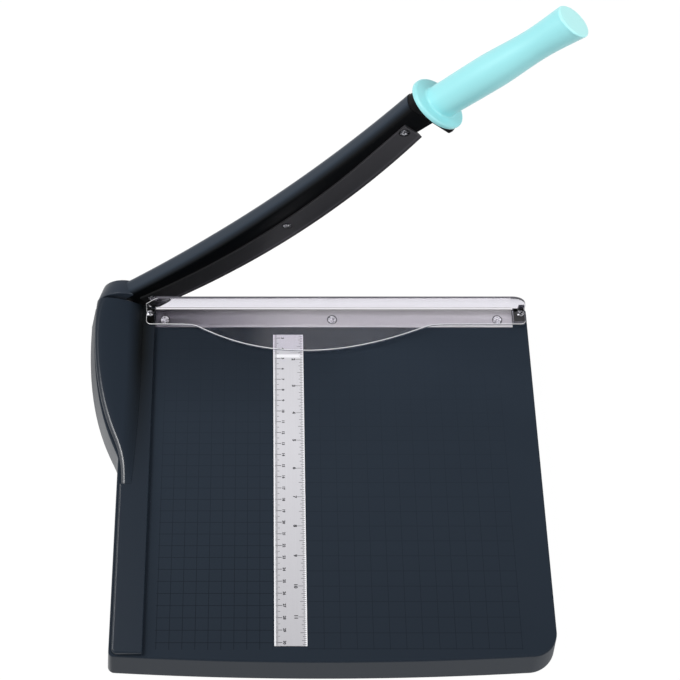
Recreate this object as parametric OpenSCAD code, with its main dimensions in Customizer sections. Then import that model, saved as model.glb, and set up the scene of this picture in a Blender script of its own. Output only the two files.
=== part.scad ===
// Guillotine paper cutter: moulded base with a hinged cutting arm and a clear finger guard.
// While it is drawn, x runs right from the paper stop, y runs away from the user from the
// cutting line, and z runs up from the desk. Lengths are millimetres, angles degrees.

/* [Base] */
// Cutting length, and length of the fixed knife
knife_len = 307; // [260:1:360]
// Board beyond the right end of the knife
right_margin = 12.7; // [11.5:0.1:30]
// Depth of the board at its sides, from the cutting line to the front
board_d = 312; // [270:1:360]
// How far the front edge bows out at its middle
front_bow = 3.4; // [0:0.2:8]
// Height of the skirt, from its rim to the board's top
skirt_h = 33; // [30:1:45]
// Outward flare of the skirt at its rim
skirt_flare = 3; // [1:0.5:5]
// Wall of the moulded base
wall = 3; // [2.5:0.25:3.5]
// Chamfer round the board's top edge
edge_chamfer = 1.2; // [0.5:0.1:2]
// Radius of the front right corner
corner_front_right = 20; // [8:1:40]
// Radius of the front left corner
corner_front_left = 6; // [4:1:20]
// Radius of the back right corner
corner_back = 3; // [1:0.5:6]
// Spacing of the ribs under the board
rib_pitch = 36; // [32:1:38]
// Thickness of a rib
rib_t = 2; // [1.5:0.25:3]
// Depth of a rib below the top wall
rib_d = 18; // [8:1:22]

/* [Hinge bulge and cover] */
// How far the skirt bulges out to the left at its rim
bulge_rim = 29.2; // [26:0.2:36]
// How far it bulges out at the board's top
bulge_top = 25.6; // [24:0.2:30]
// Distance from the cutting line to the start of the taper
bulge_peak = 10; // [8:1:30]
// Distance from the cutting line to the end of the taper
bulge_end = 144; // [138:1:160]
// Length of the hinge cover
cover_len = 168; // [160:1:220]
// Height of the hinge cover at its back, above the board
cover_h = 18.7; // [17:0.1:24]
// Wall of the hinge cover
cover_wall = 2.2; // [1.6:0.1:2.5]
// Width of the rounded left edge of the hinge cover, at no height
cover_round = 6; // [4:0.5:8]
// How late the cover's top falls to the rail: a power of the share of its width
cover_fall = 1.8; // [1.4:0.1:2.4]

/* [Fence rail and ruler] */
// Width of the fence rail
fence_w = 25; // [20:0.5:32]
// Height of the fence rail, and of the paper slot under the guard
rail_h = 5; // [4.8:0.1:7]
// Base left of the fence rail
rail_ledge = 1.5; // [1:0.25:4]
// Gap between the front end of the rail and the front of the board
rail_front = 4; // [1:0.5:20]
// Distance from the paper stop to the ruler
ruler_x = 100.6; // [60:0.1:160]
// Width of the ruler strip
ruler_w = 26.1; // [15:0.1:40]
// Distance from the cutting line to the ruler
ruler_back = 26.6; // [25:0.1:60]
// Gap between the ruler and the front of the board
ruler_front = 9.2; // [4:0.1:40]
// Thickness of the ruler strip
ruler_t = 0.8; // [0.5:0.1:1.2]

/* [Fixed knife and guard] */
// Width of the fixed knife
knife_w = 19; // [17:0.5:24]
// Thickness of the fixed knife
knife_t = 3; // [2.5:0.1:4]
// How far the knife and its bevel stand proud of the board
knife_proud = 0.5; // [0.2:0.05:0.8]
// Width of the bevel on the knife's paper side
knife_bevel = 2.7; // [1:0.1:5]
// Wall of the clear guard
guard_t = 2; // [1.5:0.1:3]
// Height of the guard above the board
guard_h = 24; // [14:0.5:30]
// Distance from the cutting line to the guard's straight front edge
guard_front = 20; // [18:0.5:26]
// Distance from the cutting line to the guard's upright wall
guard_back = 2.5; // [2.4:0.1:4]
// Middle of the guard's wave, from the paper stop
wave_x = 131; // [118:1:150]
// Length of the wave left of its middle
wave_left = 97; // [60:1:110]
// Length of the wave right of its middle
wave_right = 105; // [60:1:130]
// How far the wave reaches out in front of the straight edge
wave_d = 25.7; // [8:0.1:40]
// Width of the pad under the guard's right end
pad_w = 10; // [8:0.5:11]

/* [Arm and blade] */
// Angle of the raised arm at rest
arm_raise = 47; // [0:1:60]
// Distance from the paper stop to the pivot
pivot_left = 28.5; // [27:0.25:30]
// Depth of the pivot below the board's top
pivot_drop = 2; // [0:0.25:4]
// Radius of the blade's cutting edge
blade_edge_r = 800; // [700:5:1200]
// Distance along the arm from the pivot to the lowest point of the edge
blade_low_x = 150; // [140:1:165]
// Depth of that lowest point below the pivot
blade_low_z = 29.2; // [27:0.1:30]
// Width of the blade
blade_w = 19.2; // [17:0.1:22]
// Thickness of the blade
blade_t = 2; // [1.5:0.1:3]
// Running gap between the blade and the fixed knife
blade_gap = 0.2; // [0.15:0.05:0.3]
// Start of the blade along the arm
blade_start = 20; // [18:0.5:24]
// End of the blade along the arm
blade_end = 341; // [300:1:370]
// How far the edge stands out below the arm
blade_overhang = 5.2; // [3.8:0.1:6]
// Radius of the arm's upper edge, seen from the front
arm_top_r = 1314; // [1100:5:1800]
// Distance along the arm from the pivot to the lowest point of that edge
arm_top_x = 131; // [110:1:150]
// Height of that lowest point above the pivot
arm_top_z = 5.6; // [3:0.1:8]
// Width of the arm from front to back
arm_w = 17.4; // [16:0.2:22]
// Width of the arm at its outer end
arm_tip_w = 15.6; // [14:0.1:16.5]
// Length of the arm's block beyond the blade
arm_block = 14.5; // [12:0.5:20]
// Height of that block below the bar
arm_block_h = 14; // [12:0.5:18]
// Radius of the hinge knuckle at its front face
knuckle_r = 23; // [20:0.5:26]
// Radius of the hinge knuckle at its back
knuckle_back_r = 18.2; // [14:0.1:20]

/* [Grip] */
// Length of the grip beyond its flange
grip_len = 119.2; // [100:0.2:150]
// Diameter of the grip next to its flange
grip_d = 26; // [22:0.2:32]
// Diameter of its swell
swell_d = 26.8; // [22:0.2:34]
// Diameter of its waist
waist_d = 23.4; // [20:0.2:30]
// Diameter that the flare towards its end aims at
grip_end_d = 27.6; // [24:0.2:34]
// Tilt of the flange and end towards the upper side of the arm
grip_tilt = 8; // [0:0.5:12]
// Tilt of the flange and end away from the user
grip_sweep = 8; // [0:0.5:12]
// Diameter of the grip's flange
flange_d = 44; // [38:0.5:54]
// Thickness of the flange
flange_t = 4.5; // [4:0.25:8]
// Height of the grip's axis above the pivot when the arm is down
grip_z = 5.4; // [4:0.1:8]
// Distance from the cutting line to the grip's axis
grip_y = 9.5; // [8.8:0.1:10]
// Thickness of the hand stop on the grip's axis
stop_t = 9.2; // [8:0.1:12]
// Width of the hand stop from front to back
stop_w = 15.4; // [13:0.1:15.5]
// Depth of the hand stop below the pivot when the arm is down
stop_lug = 21; // [15:0.5:24]
// Height of its top above the pivot when the arm is down
stop_top = 24.5; // [18:0.5:24.5]

/* [Pivot hardware] */
// Diameter of the pivot bolt
bolt_d = 10; // [8:0.5:11]
// Running clearance, on the radius, round the bolt and other turned fits
fit_gap = 0.05; // [0.03:0.01:0.08]
// Gap between pieces that pass each other
run_gap = 0.3; // [0.2:0.05:0.4]
// Outer diameter of the pivot bush
bush_d = 14; // [13:0.5:16]
// Length of the fitted pivot spring
spring_len = 30; // [24:1:34]
// Mean diameter of the pivot spring
spring_d = 16; // [15:0.5:17]
// Wire of the pivot spring
spring_wire = 2.4; // [1.5:0.1:2.8]
// Turns of the pivot spring
spring_turns = 6; // [4:1:7]
// Thickness of the hinge bracket
bracket_t = 4; // [3:0.25:5]

/* [Feet] */
// Diameter of a rubber foot
foot_d = 16; // [12:0.5:20]
// Height of a foot below the rim
foot_h = 2; // [2:0.25:5]
// Distance of the feet from the ends of the board
foot_inset = 20; // [16:1:40]

/* [Hidden] */
$fn = 48;

// Overlap that carries a cut through a face
cut = 1;
// Setback of the moulded back wall, so that only the knife meets the blade
back_gap = 0.5;

// Levels above the desk
rim_z = foot_h;
top_z = rim_z + skirt_h;
plate_z = top_z - wall;
slot_z = top_z + rail_h;
knife_top_z = top_z + knife_proud;

// Places across the board
base_left = -(fence_w + rail_ledge);
base_right = knife_len + right_margin;
pivot_x = -pivot_left;
pivot_z = top_z - pivot_drop;

// Outline of the part, which puts the origin under its middle
min_x = base_left - skirt_flare - bulge_rim;
max_x = base_right + skirt_flare;
min_y = -(board_d + front_bow + skirt_flare);
max_y = grip_y + flange_d / 2 * cos(grip_sweep);

// Steps of the curves in an outline
bulge_steps = 14;
bow_steps = 14;
wave_steps = 48;
wire_sides = 6;

// Spring cup, nut and the bolt's end beyond it
cup_t = 2.5;
nut_t = 8;
bolt_end = 3;

// Hinge well in the base, which holds the bracket, spring and nut
well_x0 = pivot_x - 17.5;
well_x1 = pivot_x + 14.8;
well_wall = 2.5;
well_floor_z = pivot_z - 21;
well_foot_z = well_floor_z - 8;
well_len = back_gap + wall + bracket_t + spring_len + cup_t + nut_t + bolt_end + 12;

// Arm levels across the cutting line
arm_front = blade_gap + blade_t;
arm_back = arm_front + arm_w;
arm_end = blade_end + arm_block;
arm_foot_z = -1.8;
flange_x = arm_end + stop_t;
blade_cz = blade_edge_r - blade_low_z;
arm_top_cz = arm_top_z + arm_top_r;

// Screws: shank radius, head radius and head height
small_shank = 1.5;
small_head = 3;
small_head_t = 2;
knife_shank = 2;
knife_head = 4;
knife_head_t = 2.2;
knife_screw_len = 13;
blade_shank = 1.95;
blade_head = 3.5;
blade_screw_len = 9;
bracket_shank = 2.5;
bracket_head = 4.5;
bracket_head_t = 3;
bracket_screw_len = 8;
boss_wall = 2.5;

knife_screw_y = -12;
knife_screw_x = [8.1, knife_len / 2 - 1.6, knife_len - 12.9];
blade_screw_x = [blade_start + 11, blade_start + 170, blade_end - 5.5];
blade_screw_r = blade_edge_r - 13.7;
guard_x0 = -7.5;
guard_x1 = base_right - 2.2;
pad_x0 = knife_len + run_gap;
guard_screw_y = -9.5;
guard_screw_x = [guard_x0 + 3, pad_x0 + 0.6 * pad_w];
rail_screws_at = [[-5.2, -2.5], [-fence_w / 2, -5.5], [-fence_w / 2, -7.5]];
cover_screws_at = [[-31, -2.5], [-25, -3.5]];
bracket_screw_y = [-(back_gap + wall + bracket_t + 12), -(back_gap + wall + bracket_t + 36)];

dark_board = "#2a323b";
dark_arm = "#20252d";
black = "#15161a";
steel = "#b5b2b6";
bright = "#d5d5d8";
aqua = "#9be8ea";

// Curves

function bezier(a, b, c, d, t) =
    a * pow(1 - t, 3) + 3 * b * t * pow(1 - t, 2) + 3 * c * t * t * (1 - t) + d * pow(t, 3);

function arc(centre, r, from, to, steps) =
    [for (i = [0:steps]) let (a = from + (to - from) * i / steps) centre + r * [cos(a), sin(a)]];

// Taper of the bulge: distance from the cutting line, and share of the full bulge, at t
function taper_v(t) =
    let (run = bulge_end - bulge_peak)
    bezier(bulge_peak, bulge_peak + 0.7 * run, bulge_end - 0.06 * run, bulge_end, t);
function taper_share(t) = bezier(1, 1, 0, 0, t);

// Outline of the base, grown outwards, with its bulge and a setback of the back edge
function base_outline(grow, bulge, setback) =
    let (
        xl = base_left - grow,
        xr = base_right + grow,
        yb = -back_gap - setback,
        yf = -board_d - grow,
        rl = corner_front_left + grow,
        rr = corner_front_right + grow,
        bow_w = xr - rr - xl - rl
    )
    concat(
        [[xl - bulge, yb]],
        [for (i = [0:bulge_steps]) let (t = i / bulge_steps) [xl - bulge * taper_share(t), -taper_v(t)]],
        arc([xl + rl, yf + rl], rl, 180, 270, 6),
        [for (i = [1:bow_steps - 1]) let (u = 2 * i / bow_steps - 1)
            [xl + rl + bow_w * i / bow_steps, yf - front_bow * (1 - u * u)]],
        arc([xr - rr, yf + rr], rr, 270, 360, 8),
        arc([xr - corner_back, yb - corner_back], corner_back, 0, 90, 4)
    );

function at_z(outline, z) = [for (p = outline) [p.x, p.y, z]];

// Height of the hinge cover above the board, and the crease where it meets the rail, at v
function cover_top(v) = cover_h - (cover_h - rail_h) * v / cover_len;
function cover_edge(v) = -10.2 - 4 * pow(max(0, v - 60) / (cover_len - 60), 2);

// Section of the hinge cover at a distance v, set in by a wall: a rounded left edge up to the
// ridge, then a fall that steepens towards the rail
function cover_ring(v, share, inset, foot_z) =
    let (
        xl = base_left - bulge_top * share + edge_chamfer + run_gap + inset,
        xr = cover_edge(v) - run_gap - inset,
        top = cover_top(v) - inset,
        rest = rail_h - inset,
        turn = min(cover_round + 0.22 * top, 0.45 * (xr - xl)),
        ridge = xl + turn
    )
    [for (p = concat(
        [[xl, foot_z], [xr, foot_z]],
        [for (i = [8:-1:0]) let (u = i / 8)
            [ridge + u * (xr - ridge), top_z + rest + (top - rest) * (1 - pow(u, cover_fall))]],
        [for (a = [75:-13:10])
            [ridge - turn * pow(cos(a), 0.8), top_z + top * pow(sin(a), 0.8)]]
    )) [p.x, -v, p.y]];

// Front edge of the guard's flange at x
function guard_edge(x) =
    let (
        left = x < wave_x,
        d = abs(x - wave_x) / (left ? wave_left : wave_right),
        rise = wave_d * (1 - pow(d, left ? 2.3 : 1.85))
    )
    guard_front + (rise + sqrt(rise * rise + 6)) / 2;

// Radius of the grip at a share u of its length: waves from the swell to the waist and the flare
function wave(a, b, t) = a + (b - a) * (1 - cos(180 * t)) / 2;
function grip_r(u) =
    u < 0.38 ? wave(grip_d, swell_d, u / 0.38) / 2
    : u < 0.73 ? wave(swell_d, waist_d, (u - 0.38) / 0.35) / 2
    : wave(waist_d, grip_end_d, (u - 0.73) / 0.35) / 2;

// Building blocks

function middle(ring) = [for (p = ring) 1] * ring / len(ring);

// Solid through a list of rings, each turning left as seen from the ring after it
module loft(rings) {
    n = len(rings[0]);
    last = len(rings) - 1;
    foot = (last + 1) * n;
    polyhedron(
        points = concat([for (ring = rings) each ring], [middle(rings[0]), middle(rings[last])]),
        faces = concat(
            [for (i = [0:n - 1]) [i, (i + 1) % n, foot]],
            [for (i = [0:n - 1]) [last * n + (i + 1) % n, last * n + i, foot + 1]],
            [for (k = [0:last - 1], i = [0:n - 1])
                [k * n + i, (k + 1) * n + i, (k + 1) * n + (i + 1) % n]],
            [for (k = [0:last - 1], i = [0:n - 1])
                [k * n + i, (k + 1) * n + (i + 1) % n, k * n + (i + 1) % n]]
        )
    );
}

// Moves the drawing so that the origin lies on the desk under the middle of the part
module in_frame() translate([-(min_x + max_x) / 2, -(min_y + max_y) / 2, 0]) children();

// Places what is drawn along the closed arm, with the pivot at the origin, at its raised angle
module raised() translate([pivot_x, 0, pivot_z]) rotate([0, -arm_raise, 0]) children();

// Turns a shape that is drawn upwards so that it points away from the user, or along the arm
module away() rotate([-90, 0, 0]) children();
module along() rotate([0, 90, 0]) children();

// Bar of a section (radius, y) carried round a centre, between two distances along the arm
module swept(cx, cz, r, x0, x1) {
    from = acos((x1 - cx) / r);
    to = acos((x0 - cx) / r);
    translate([cx, 0, cz]) away() rotate([0, 0, from]) rotate_extrude(angle = to - from, $fn = 360)
        children();
}

// Place on the blade's arc at a distance along the arm and a radius
function on_arc(x, r) = [x, blade_cz - sqrt(r * r - pow(x - blade_low_x, 2))];

// Pan head screw that points up from the underside of a plate
module screw_up(len) {
    translate([0, 0, -small_head_t]) cylinder(r = small_head, h = small_head_t);
    cylinder(r = small_shank, h = len);
}

// Countersunk screw that points down, with its head flush at z = 0
module countersunk(head, head_t, shank, len) {
    translate([0, 0, -head_t]) cylinder(r1 = shank, r2 = head, h = head_t);
    translate([0, 0, -len]) cylinder(r = shank, h = len - head_t);
}

// Base body

module base_outer() loft([
    at_z(base_outline(skirt_flare, bulge_rim, 0), rim_z),
    at_z(base_outline(0, bulge_top, 0), top_z - edge_chamfer),
    at_z(base_outline(-edge_chamfer, bulge_top, 0), top_z)
]);

module base_hollow() loft([
    at_z(base_outline(skirt_flare - wall, bulge_rim, wall), rim_z - cut),
    at_z(base_outline(-wall, bulge_top, wall), plate_z)
]);

module base_ribs() {
    for (x = [0:rib_pitch:base_right])
        translate([x - rib_t / 2, min_y, plate_z - rib_d]) cube([rib_t, -min_y, rib_d + cut]);
    for (y = [rib_pitch:rib_pitch:board_d - wall])
        translate([min_x, -y - rib_t / 2, plate_z - rib_d]) cube([max_x - min_x, rib_t, rib_d + cut]);
}

function foot_place(i, j) = [
    i == 0 ? foot_inset - 18 : base_right - foot_inset,
    j == 0 ? -board_d + foot_inset : -foot_inset - 2
];

module base_inside() {
    base_ribs();
    // Bed of the knife along the cutting edge
    translate([base_left, -knife_w - wall, top_z - knife_t - 6])
        cube([base_right - base_left, knife_w + wall, knife_t + 5]);
    for (x = knife_screw_x)
        translate([x, knife_screw_y, knife_top_z - knife_screw_len - boss_wall])
            cylinder(r = knife_shank + boss_wall, h = knife_screw_len);
    // Hinge well
    translate([well_x0 - well_wall, -well_len - well_wall, well_foot_z])
        cube([well_x1 - well_x0 + 2 * well_wall, well_len + well_wall, plate_z + cut - well_foot_z]);
    // Columns that carry the feet
    for (i = [0, 1], j = [0, 1])
        translate([foot_place(i, j).x, foot_place(i, j).y, rim_z])
            cylinder(r = foot_d / 2 + wall, h = plate_z - rim_z + cut);
}

module base_board() color(dark_board) in_frame() difference() {
    union() {
        difference() {
            base_outer();
            base_hollow();
        }
        intersection() {
            base_outer();
            base_inside();
        }
    }
    // Well, and the slot that takes the bolt through its back wall
    translate([well_x0, -well_len, well_floor_z])
        cube([well_x1 - well_x0, well_len - back_gap - wall, skirt_h]);
    translate([pivot_x, -back_gap - wall - cut, pivot_z]) away()
        cylinder(r = bolt_d / 2 + run_gap, h = wall + 2 * cut);
    translate([pivot_x - bolt_d / 2 - run_gap, -back_gap - wall - cut, pivot_z])
        cube([bolt_d + 2 * run_gap, wall + 2 * cut, skirt_h]);
    for (y = bracket_screw_y)
        translate([pivot_x, y, well_floor_z - bracket_screw_len])
            cylinder(r = bracket_shank + fit_gap, h = bracket_screw_len + cut);
    // Seats of the knife and ruler
    translate([0, -knife_w - fit_gap, knife_top_z - knife_t])
        cube([knife_len + fit_gap, knife_w + cut, knife_t + cut]);
    translate([ruler_x - fit_gap, -board_d + ruler_front - fit_gap, top_z - ruler_t / 2])
        cube([ruler_w + 2 * fit_gap, board_d - ruler_front - ruler_back + 2 * fit_gap, ruler_t]);
    // Screw holes
    for (x = knife_screw_x)
        translate([x, knife_screw_y, knife_top_z - knife_screw_len])
            cylinder(r = knife_shank + fit_gap, h = knife_screw_len);
    for (x = guard_screw_x)
        translate([x, guard_screw_y, top_z - knife_t - 4])
            cylinder(r = small_shank + fit_gap, h = knife_t + 5);
    for (s = concat(rail_screws_at, cover_screws_at))
        translate([s.x, s.y * rib_pitch, plate_z - cut])
            cylinder(r = small_shank + fit_gap, h = wall + 2 * cut);
    // Seats of the feet
    for (i = [0, 1], j = [0, 1])
        translate([foot_place(i, j).x, foot_place(i, j).y, rim_z - cut])
            cylinder(r = foot_d / 2 + run_gap / 2, h = foot_h / 2 + cut);
}

module rubber_foot(i, j) color(black) in_frame() translate(foot_place(i, j)) {
    cylinder(d1 = foot_d - 2, d2 = foot_d, h = foot_h / 2);
    translate([0, 0, foot_h / 2]) cylinder(d = foot_d, h = foot_h);
}

module fence_rail() color(dark_board) in_frame() difference() {
    front = -board_d + rail_front;
    step_y = -cover_len - run_gap;
    translate([0, 0, top_z]) linear_extrude(rail_h) polygon(concat(
        [[0, -back_gap], [cover_edge(0), -back_gap]],
        [for (i = [0:6]) let (v = 60 + (cover_len - 60) * i / 6) [cover_edge(v), -v]],
        [[cover_edge(cover_len), step_y], [-fence_w, step_y]],
        arc([-fence_w + 6, front + 6], 6, 180, 270, 6),
        arc([-1, front + 1], 1, 270, 360, 3)
    ));
    for (s = rail_screws_at)
        translate([s.x, s.y * rib_pitch, top_z - cut]) cylinder(r = small_shank + fit_gap, h = rail_h);
    translate([guard_screw_x[0], guard_screw_y, top_z - cut])
        cylinder(r = small_shank + fit_gap, h = rail_h + 2 * cut);
}

module rail_screws() color(bright) in_frame() for (s = rail_screws_at)
    translate([s.x, s.y * rib_pitch, plate_z]) screw_up(wall + rail_h - 1.2);

// Stations along the cover: distance from the cutting line, and share of the full bulge
cover_stations = [for (i = [0:bulge_steps]) [taper_v(i / bulge_steps), taper_share(i / bulge_steps)]];

module cover_outside() loft(concat(
    [cover_ring(back_gap, 1, 0, top_z)],
    [for (s = cover_stations) cover_ring(s[0], s[1], 0, top_z)],
    [cover_ring(cover_len, 0, 0, top_z)]
));

module cover_inside() loft(concat(
    [cover_ring(back_gap + cover_wall, 1, cover_wall, top_z - cut)],
    [for (s = cover_stations) if (s[1] > 0.12) cover_ring(s[0], s[1], cover_wall, top_z - cut)]
));

module hinge_cover() color(dark_board) in_frame() difference() {
    union() {
        difference() {
            cover_outside();
            cover_inside();
        }
        intersection() {
            cover_outside();
            for (s = cover_screws_at)
                translate([s.x, s.y * rib_pitch, top_z])
                    cylinder(r = small_shank + boss_wall - 0.3, h = cover_h);
        }
    }
    for (s = cover_screws_at)
        translate([s.x, s.y * rib_pitch, top_z - cut])
            cylinder(r = small_shank + fit_gap, h = rail_h + cut);
    translate([pivot_x, -back_gap - cover_wall - cut, pivot_z]) away()
        cylinder(r = bolt_d / 2 + run_gap, h = cover_wall + 2 * cut);
}

module cover_screws() color(bright) in_frame() for (s = cover_screws_at)
    translate([s.x, s.y * rib_pitch, plate_z]) screw_up(wall + rail_h - 0.2);

module hinge_bracket() color(steel) in_frame() translate([pivot_x, -back_gap - wall, 0]) difference() {
    half = 12.5;
    foot_len = bracket_t + spring_len + cup_t + nut_t;
    union() {
        translate([-half, -bracket_t, well_floor_z]) cube([2 * half, bracket_t, pivot_z - well_floor_z]);
        translate([0, -bracket_t, pivot_z]) away() cylinder(r = half, h = bracket_t);
        translate([-half, -foot_len, well_floor_z]) cube([2 * half, foot_len, bracket_t]);
    }
    translate([0, -bracket_t - cut, pivot_z]) away()
        cylinder(r = bolt_d / 2 + fit_gap, h = bracket_t + 2 * cut);
    for (y = bracket_screw_y)
        translate([0, y + back_gap + wall, well_floor_z - cut])
            cylinder(r = bracket_shank + fit_gap, h = bracket_t + 2 * cut);
}

module bracket_screws() color(bright) in_frame() for (y = bracket_screw_y)
    translate([pivot_x, y, well_floor_z + bracket_t]) {
        shank_len = bracket_t + bracket_screw_len - 0.5;
        cylinder(r = bracket_head, h = bracket_head_t);
        translate([0, 0, -shank_len]) cylinder(r = bracket_shank, h = shank_len);
    }

// Bolt stack along the pivot, from the domed head behind the arm to the nut in the well
washer_t = 1.5;
head_y = arm_back + run_gap + washer_t;
spring_y = -back_gap - wall - bracket_t;
cup_y = spring_y - spring_len;
nut_y = cup_y - cup_t;
bolt_tip_y = nut_y - nut_t - bolt_end;

module on_pivot(y) translate([pivot_x, y, pivot_z]) away() children();

module pivot_bolt() color(steel) in_frame() {
    head_r = 0.95 * bolt_d;
    dome = 3.6;
    on_pivot(bolt_tip_y) cylinder(d = bolt_d, h = head_y - bolt_tip_y);
    on_pivot(head_y) rotate_extrude() polygon(concat(
        [[0, 0], [head_r, 0]],
        arc([head_r - 3, dome - 3.5], 3, 0, 60, 5),
        [[0, dome]]
    ));
}

module thrust_washer() color(steel) in_frame() on_pivot(-back_gap) difference() {
    cylinder(r = bolt_d / 2 + 8, h = back_gap + arm_front - run_gap);
    translate([0, 0, -cut]) cylinder(r = bolt_d / 2 + fit_gap, h = arm_front + 3 * cut);
}

module spring_washer() color(steel) in_frame() on_pivot(arm_back + run_gap)
    rotate_extrude() polygon([
        [bolt_d / 2 + fit_gap, washer_t - 0.9], [bolt_d + 1, 0],
        [bolt_d + 1, 0.9], [bolt_d / 2 + fit_gap, washer_t]
    ]);

// Section of the spring's wire at an angle round the bolt and a place along it
function wire_ring(angle, y) = [for (i = [0:wire_sides - 1]) let (
    b = 360 * i / wire_sides,
    r = spring_d / 2 + spring_wire / 2 * cos(b)
) [pivot_x + r * cos(angle), y + spring_wire / 2 * sin(b), pivot_z + r * sin(angle)]];

// One unbroken wire, drawn as rings along a helix round the bolt
module pivot_spring() color(steel) in_frame() {
    rings = 12 * spring_turns;
    seat_gap = 0.1;
    travel = spring_len - spring_wire - 2 * seat_gap;
    start = spring_y - seat_gap - spring_wire / 2;
    loft([for (k = [0:rings]) wire_ring(360 * spring_turns * k / rings, start - travel * k / rings)]);
}

module spring_cup() color(steel) in_frame() on_pivot(nut_y) difference() {
    cylinder(d = spring_d + spring_wire + 1, h = cup_t);
    translate([0, 0, -cut]) cylinder(r = bolt_d / 2 + fit_gap, h = cup_t + 2 * cut);
}

module lock_nut() color(steel) in_frame() on_pivot(nut_y - nut_t) difference() {
    cylinder(d = 1.9 * bolt_d, h = nut_t, $fn = 6);
    translate([0, 0, -cut]) cylinder(r = bolt_d / 2 + fit_gap, h = nut_t + 2 * cut);
}

module fixed_knife() color(steel) in_frame() difference() {
    translate([fit_gap, 0, 0]) rotate([90, 0, 90]) linear_extrude(knife_len - fit_gap) polygon([
        [0, knife_top_z], [-knife_w + knife_bevel, knife_top_z], [-knife_w, top_z],
        [-knife_w, knife_top_z - knife_t], [0, knife_top_z - knife_t]
    ]);
    for (x = knife_screw_x) translate([x, knife_screw_y, knife_top_z]) {
        translate([0, 0, -knife_head_t])
            cylinder(r1 = knife_shank + fit_gap, r2 = knife_head + fit_gap, h = knife_head_t);
        translate([0, 0, -knife_t - cut]) cylinder(r = knife_shank + fit_gap, h = knife_t + cut);
    }
}

module knife_screws() color(bright) in_frame() for (x = knife_screw_x)
    translate([x, knife_screw_y, knife_top_z])
        countersunk(knife_head, knife_head_t, knife_shank, knife_screw_len - 0.5);

module finger_guard() color("lightcyan", 0.4) in_frame() difference() {
    corner = 4;
    top_corner = 13;
    slope = 9;
    fillet = 3;
    x0 = guard_x0;
    x1 = guard_x1;
    top = top_z + guard_h;
    run = x1 - x0 - 2 * corner;
    union() {
        translate([0, 0, slot_z]) linear_extrude(guard_t) polygon(concat(
            [[x0, -guard_back]],
            arc([x0 + corner, -guard_front + corner], corner, 180, 270, 5),
            [for (i = [1:wave_steps - 1]) let (x = x0 + corner + run * i / wave_steps)
                [x, -guard_edge(x)]],
            arc([x1 - corner, -guard_front + corner], corner, 270, 360, 5),
            [[x1, -guard_back]]
        ));
        translate([0, -guard_back, 0]) rotate([90, 0, 0]) linear_extrude(guard_t) polygon(concat(
            [[x0, slot_z], [x1, slot_z]],
            arc([x1 - top_corner, top - top_corner], top_corner, 0, 90, 8),
            [[x0 + slope, top], [x0, top - slope]]
        ));
        // Fillet inside the angle
        translate([x0 + 1, -guard_back - guard_t, slot_z + guard_t]) rotate([90, 0, 90])
            linear_extrude(x1 - x0 - 2) difference() {
                translate([-fillet, -0.5]) square([fillet + 0.5, fillet + 0.5]);
                translate([-fillet, fillet]) circle(r = fillet);
            }
    }
    for (x = guard_screw_x)
        translate([x, guard_screw_y, slot_z - cut])
            cylinder(r = small_shank + 0.15, h = guard_t + 2 * cut);
}

module guard_pad() color(black) in_frame() difference() {
    tab_t = guard_back - back_gap - 0.2;
    union() {
        translate([pad_x0, -17, top_z]) cube([pad_w, 17 - guard_back + 0.1, rail_h]);
        translate([pad_x0 + pad_w - 5, -guard_back + 0.1, top_z]) cube([5, tab_t, rail_h + 3.5]);
        translate([pad_x0, -guard_back - 0.5, top_z]) cube([pad_w, tab_t + 0.6, rail_h - 1.5]);
    }
    translate([guard_screw_x[1], guard_screw_y, top_z - cut])
        cylinder(r = small_shank + fit_gap, h = rail_h + 2 * cut);
}

module guard_screws() color(bright) in_frame() for (x = guard_screw_x)
    translate([x, guard_screw_y, slot_z + guard_t]) rotate([180, 0, 0])
        screw_up(guard_t + rail_h + knife_t);

module ruler_strip() color("#c4c4ca") in_frame()
    translate([ruler_x, -board_d + ruler_front, top_z - ruler_t / 2])
        cube([ruler_w, board_d - ruler_front - ruler_back, ruler_t]);

// Arm body, drawn along the closed arm with the pivot at the origin

// How far the bush stands out behind the knuckle
bush_proud = 0.5;

module arm_bar() {
    low_r = blade_edge_r - blade_overhang;
    depth = 40;
    back_edge = 7;
    front_edge = 5.5;
    taper_from = blade_low_x - 30;
    intersection() {
        swept(arm_top_x, arm_top_cz, arm_top_r, bush_d - 2, arm_end + 2) polygon(concat(
            arc([arm_top_r + front_edge, arm_front + front_edge], front_edge, 270, 180, 5),
            arc([arm_top_r + back_edge, arm_back - back_edge], back_edge, 180, 90, 6),
            [[arm_top_r + depth, arm_back], [arm_top_r + depth, arm_front]]
        ));
        translate([blade_low_x, 0, blade_cz]) away()
            cylinder(r = low_r, h = arm_back + cut, $fn = 360);
        // Square outer end, and a back that tapers towards it
        translate([0, 0, -depth]) linear_extrude(3 * depth) polygon([
            [-depth, -cut], [arm_end, -cut], [arm_end, arm_front + arm_tip_w],
            [taper_from, arm_back + 0.01], [-depth, arm_back + 1]
        ]);
    }
}

// The bar's front, which the blade lies on, stands a little proud of the knuckle and the block
bar_proud = 0.2;

module arm_knuckle() translate([0, arm_front + bar_proud, 0]) away()
    cylinder(r1 = knuckle_r, r2 = knuckle_back_r, h = arm_w - bush_proud - bar_proud);

// Block under the bar's outer end, which takes the handle
module arm_tip() {
    edge = 2;
    front = arm_front + bar_proud;
    back = arm_front + arm_tip_w - 1;
    lap = 2;
    translate([arm_end - arm_block - lap, 0, 0]) rotate([90, 0, 90])
        linear_extrude(arm_block + lap) polygon(concat(
            [[front, arm_foot_z]],
            arc([back - edge, arm_foot_z + edge], edge, 270, 360, 4),
            [[back, arm_foot_z + arm_block_h], [front, arm_foot_z + arm_block_h]]
        ));
}

tang_r = 4;
tang_in = arm_block - 1;

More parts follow.
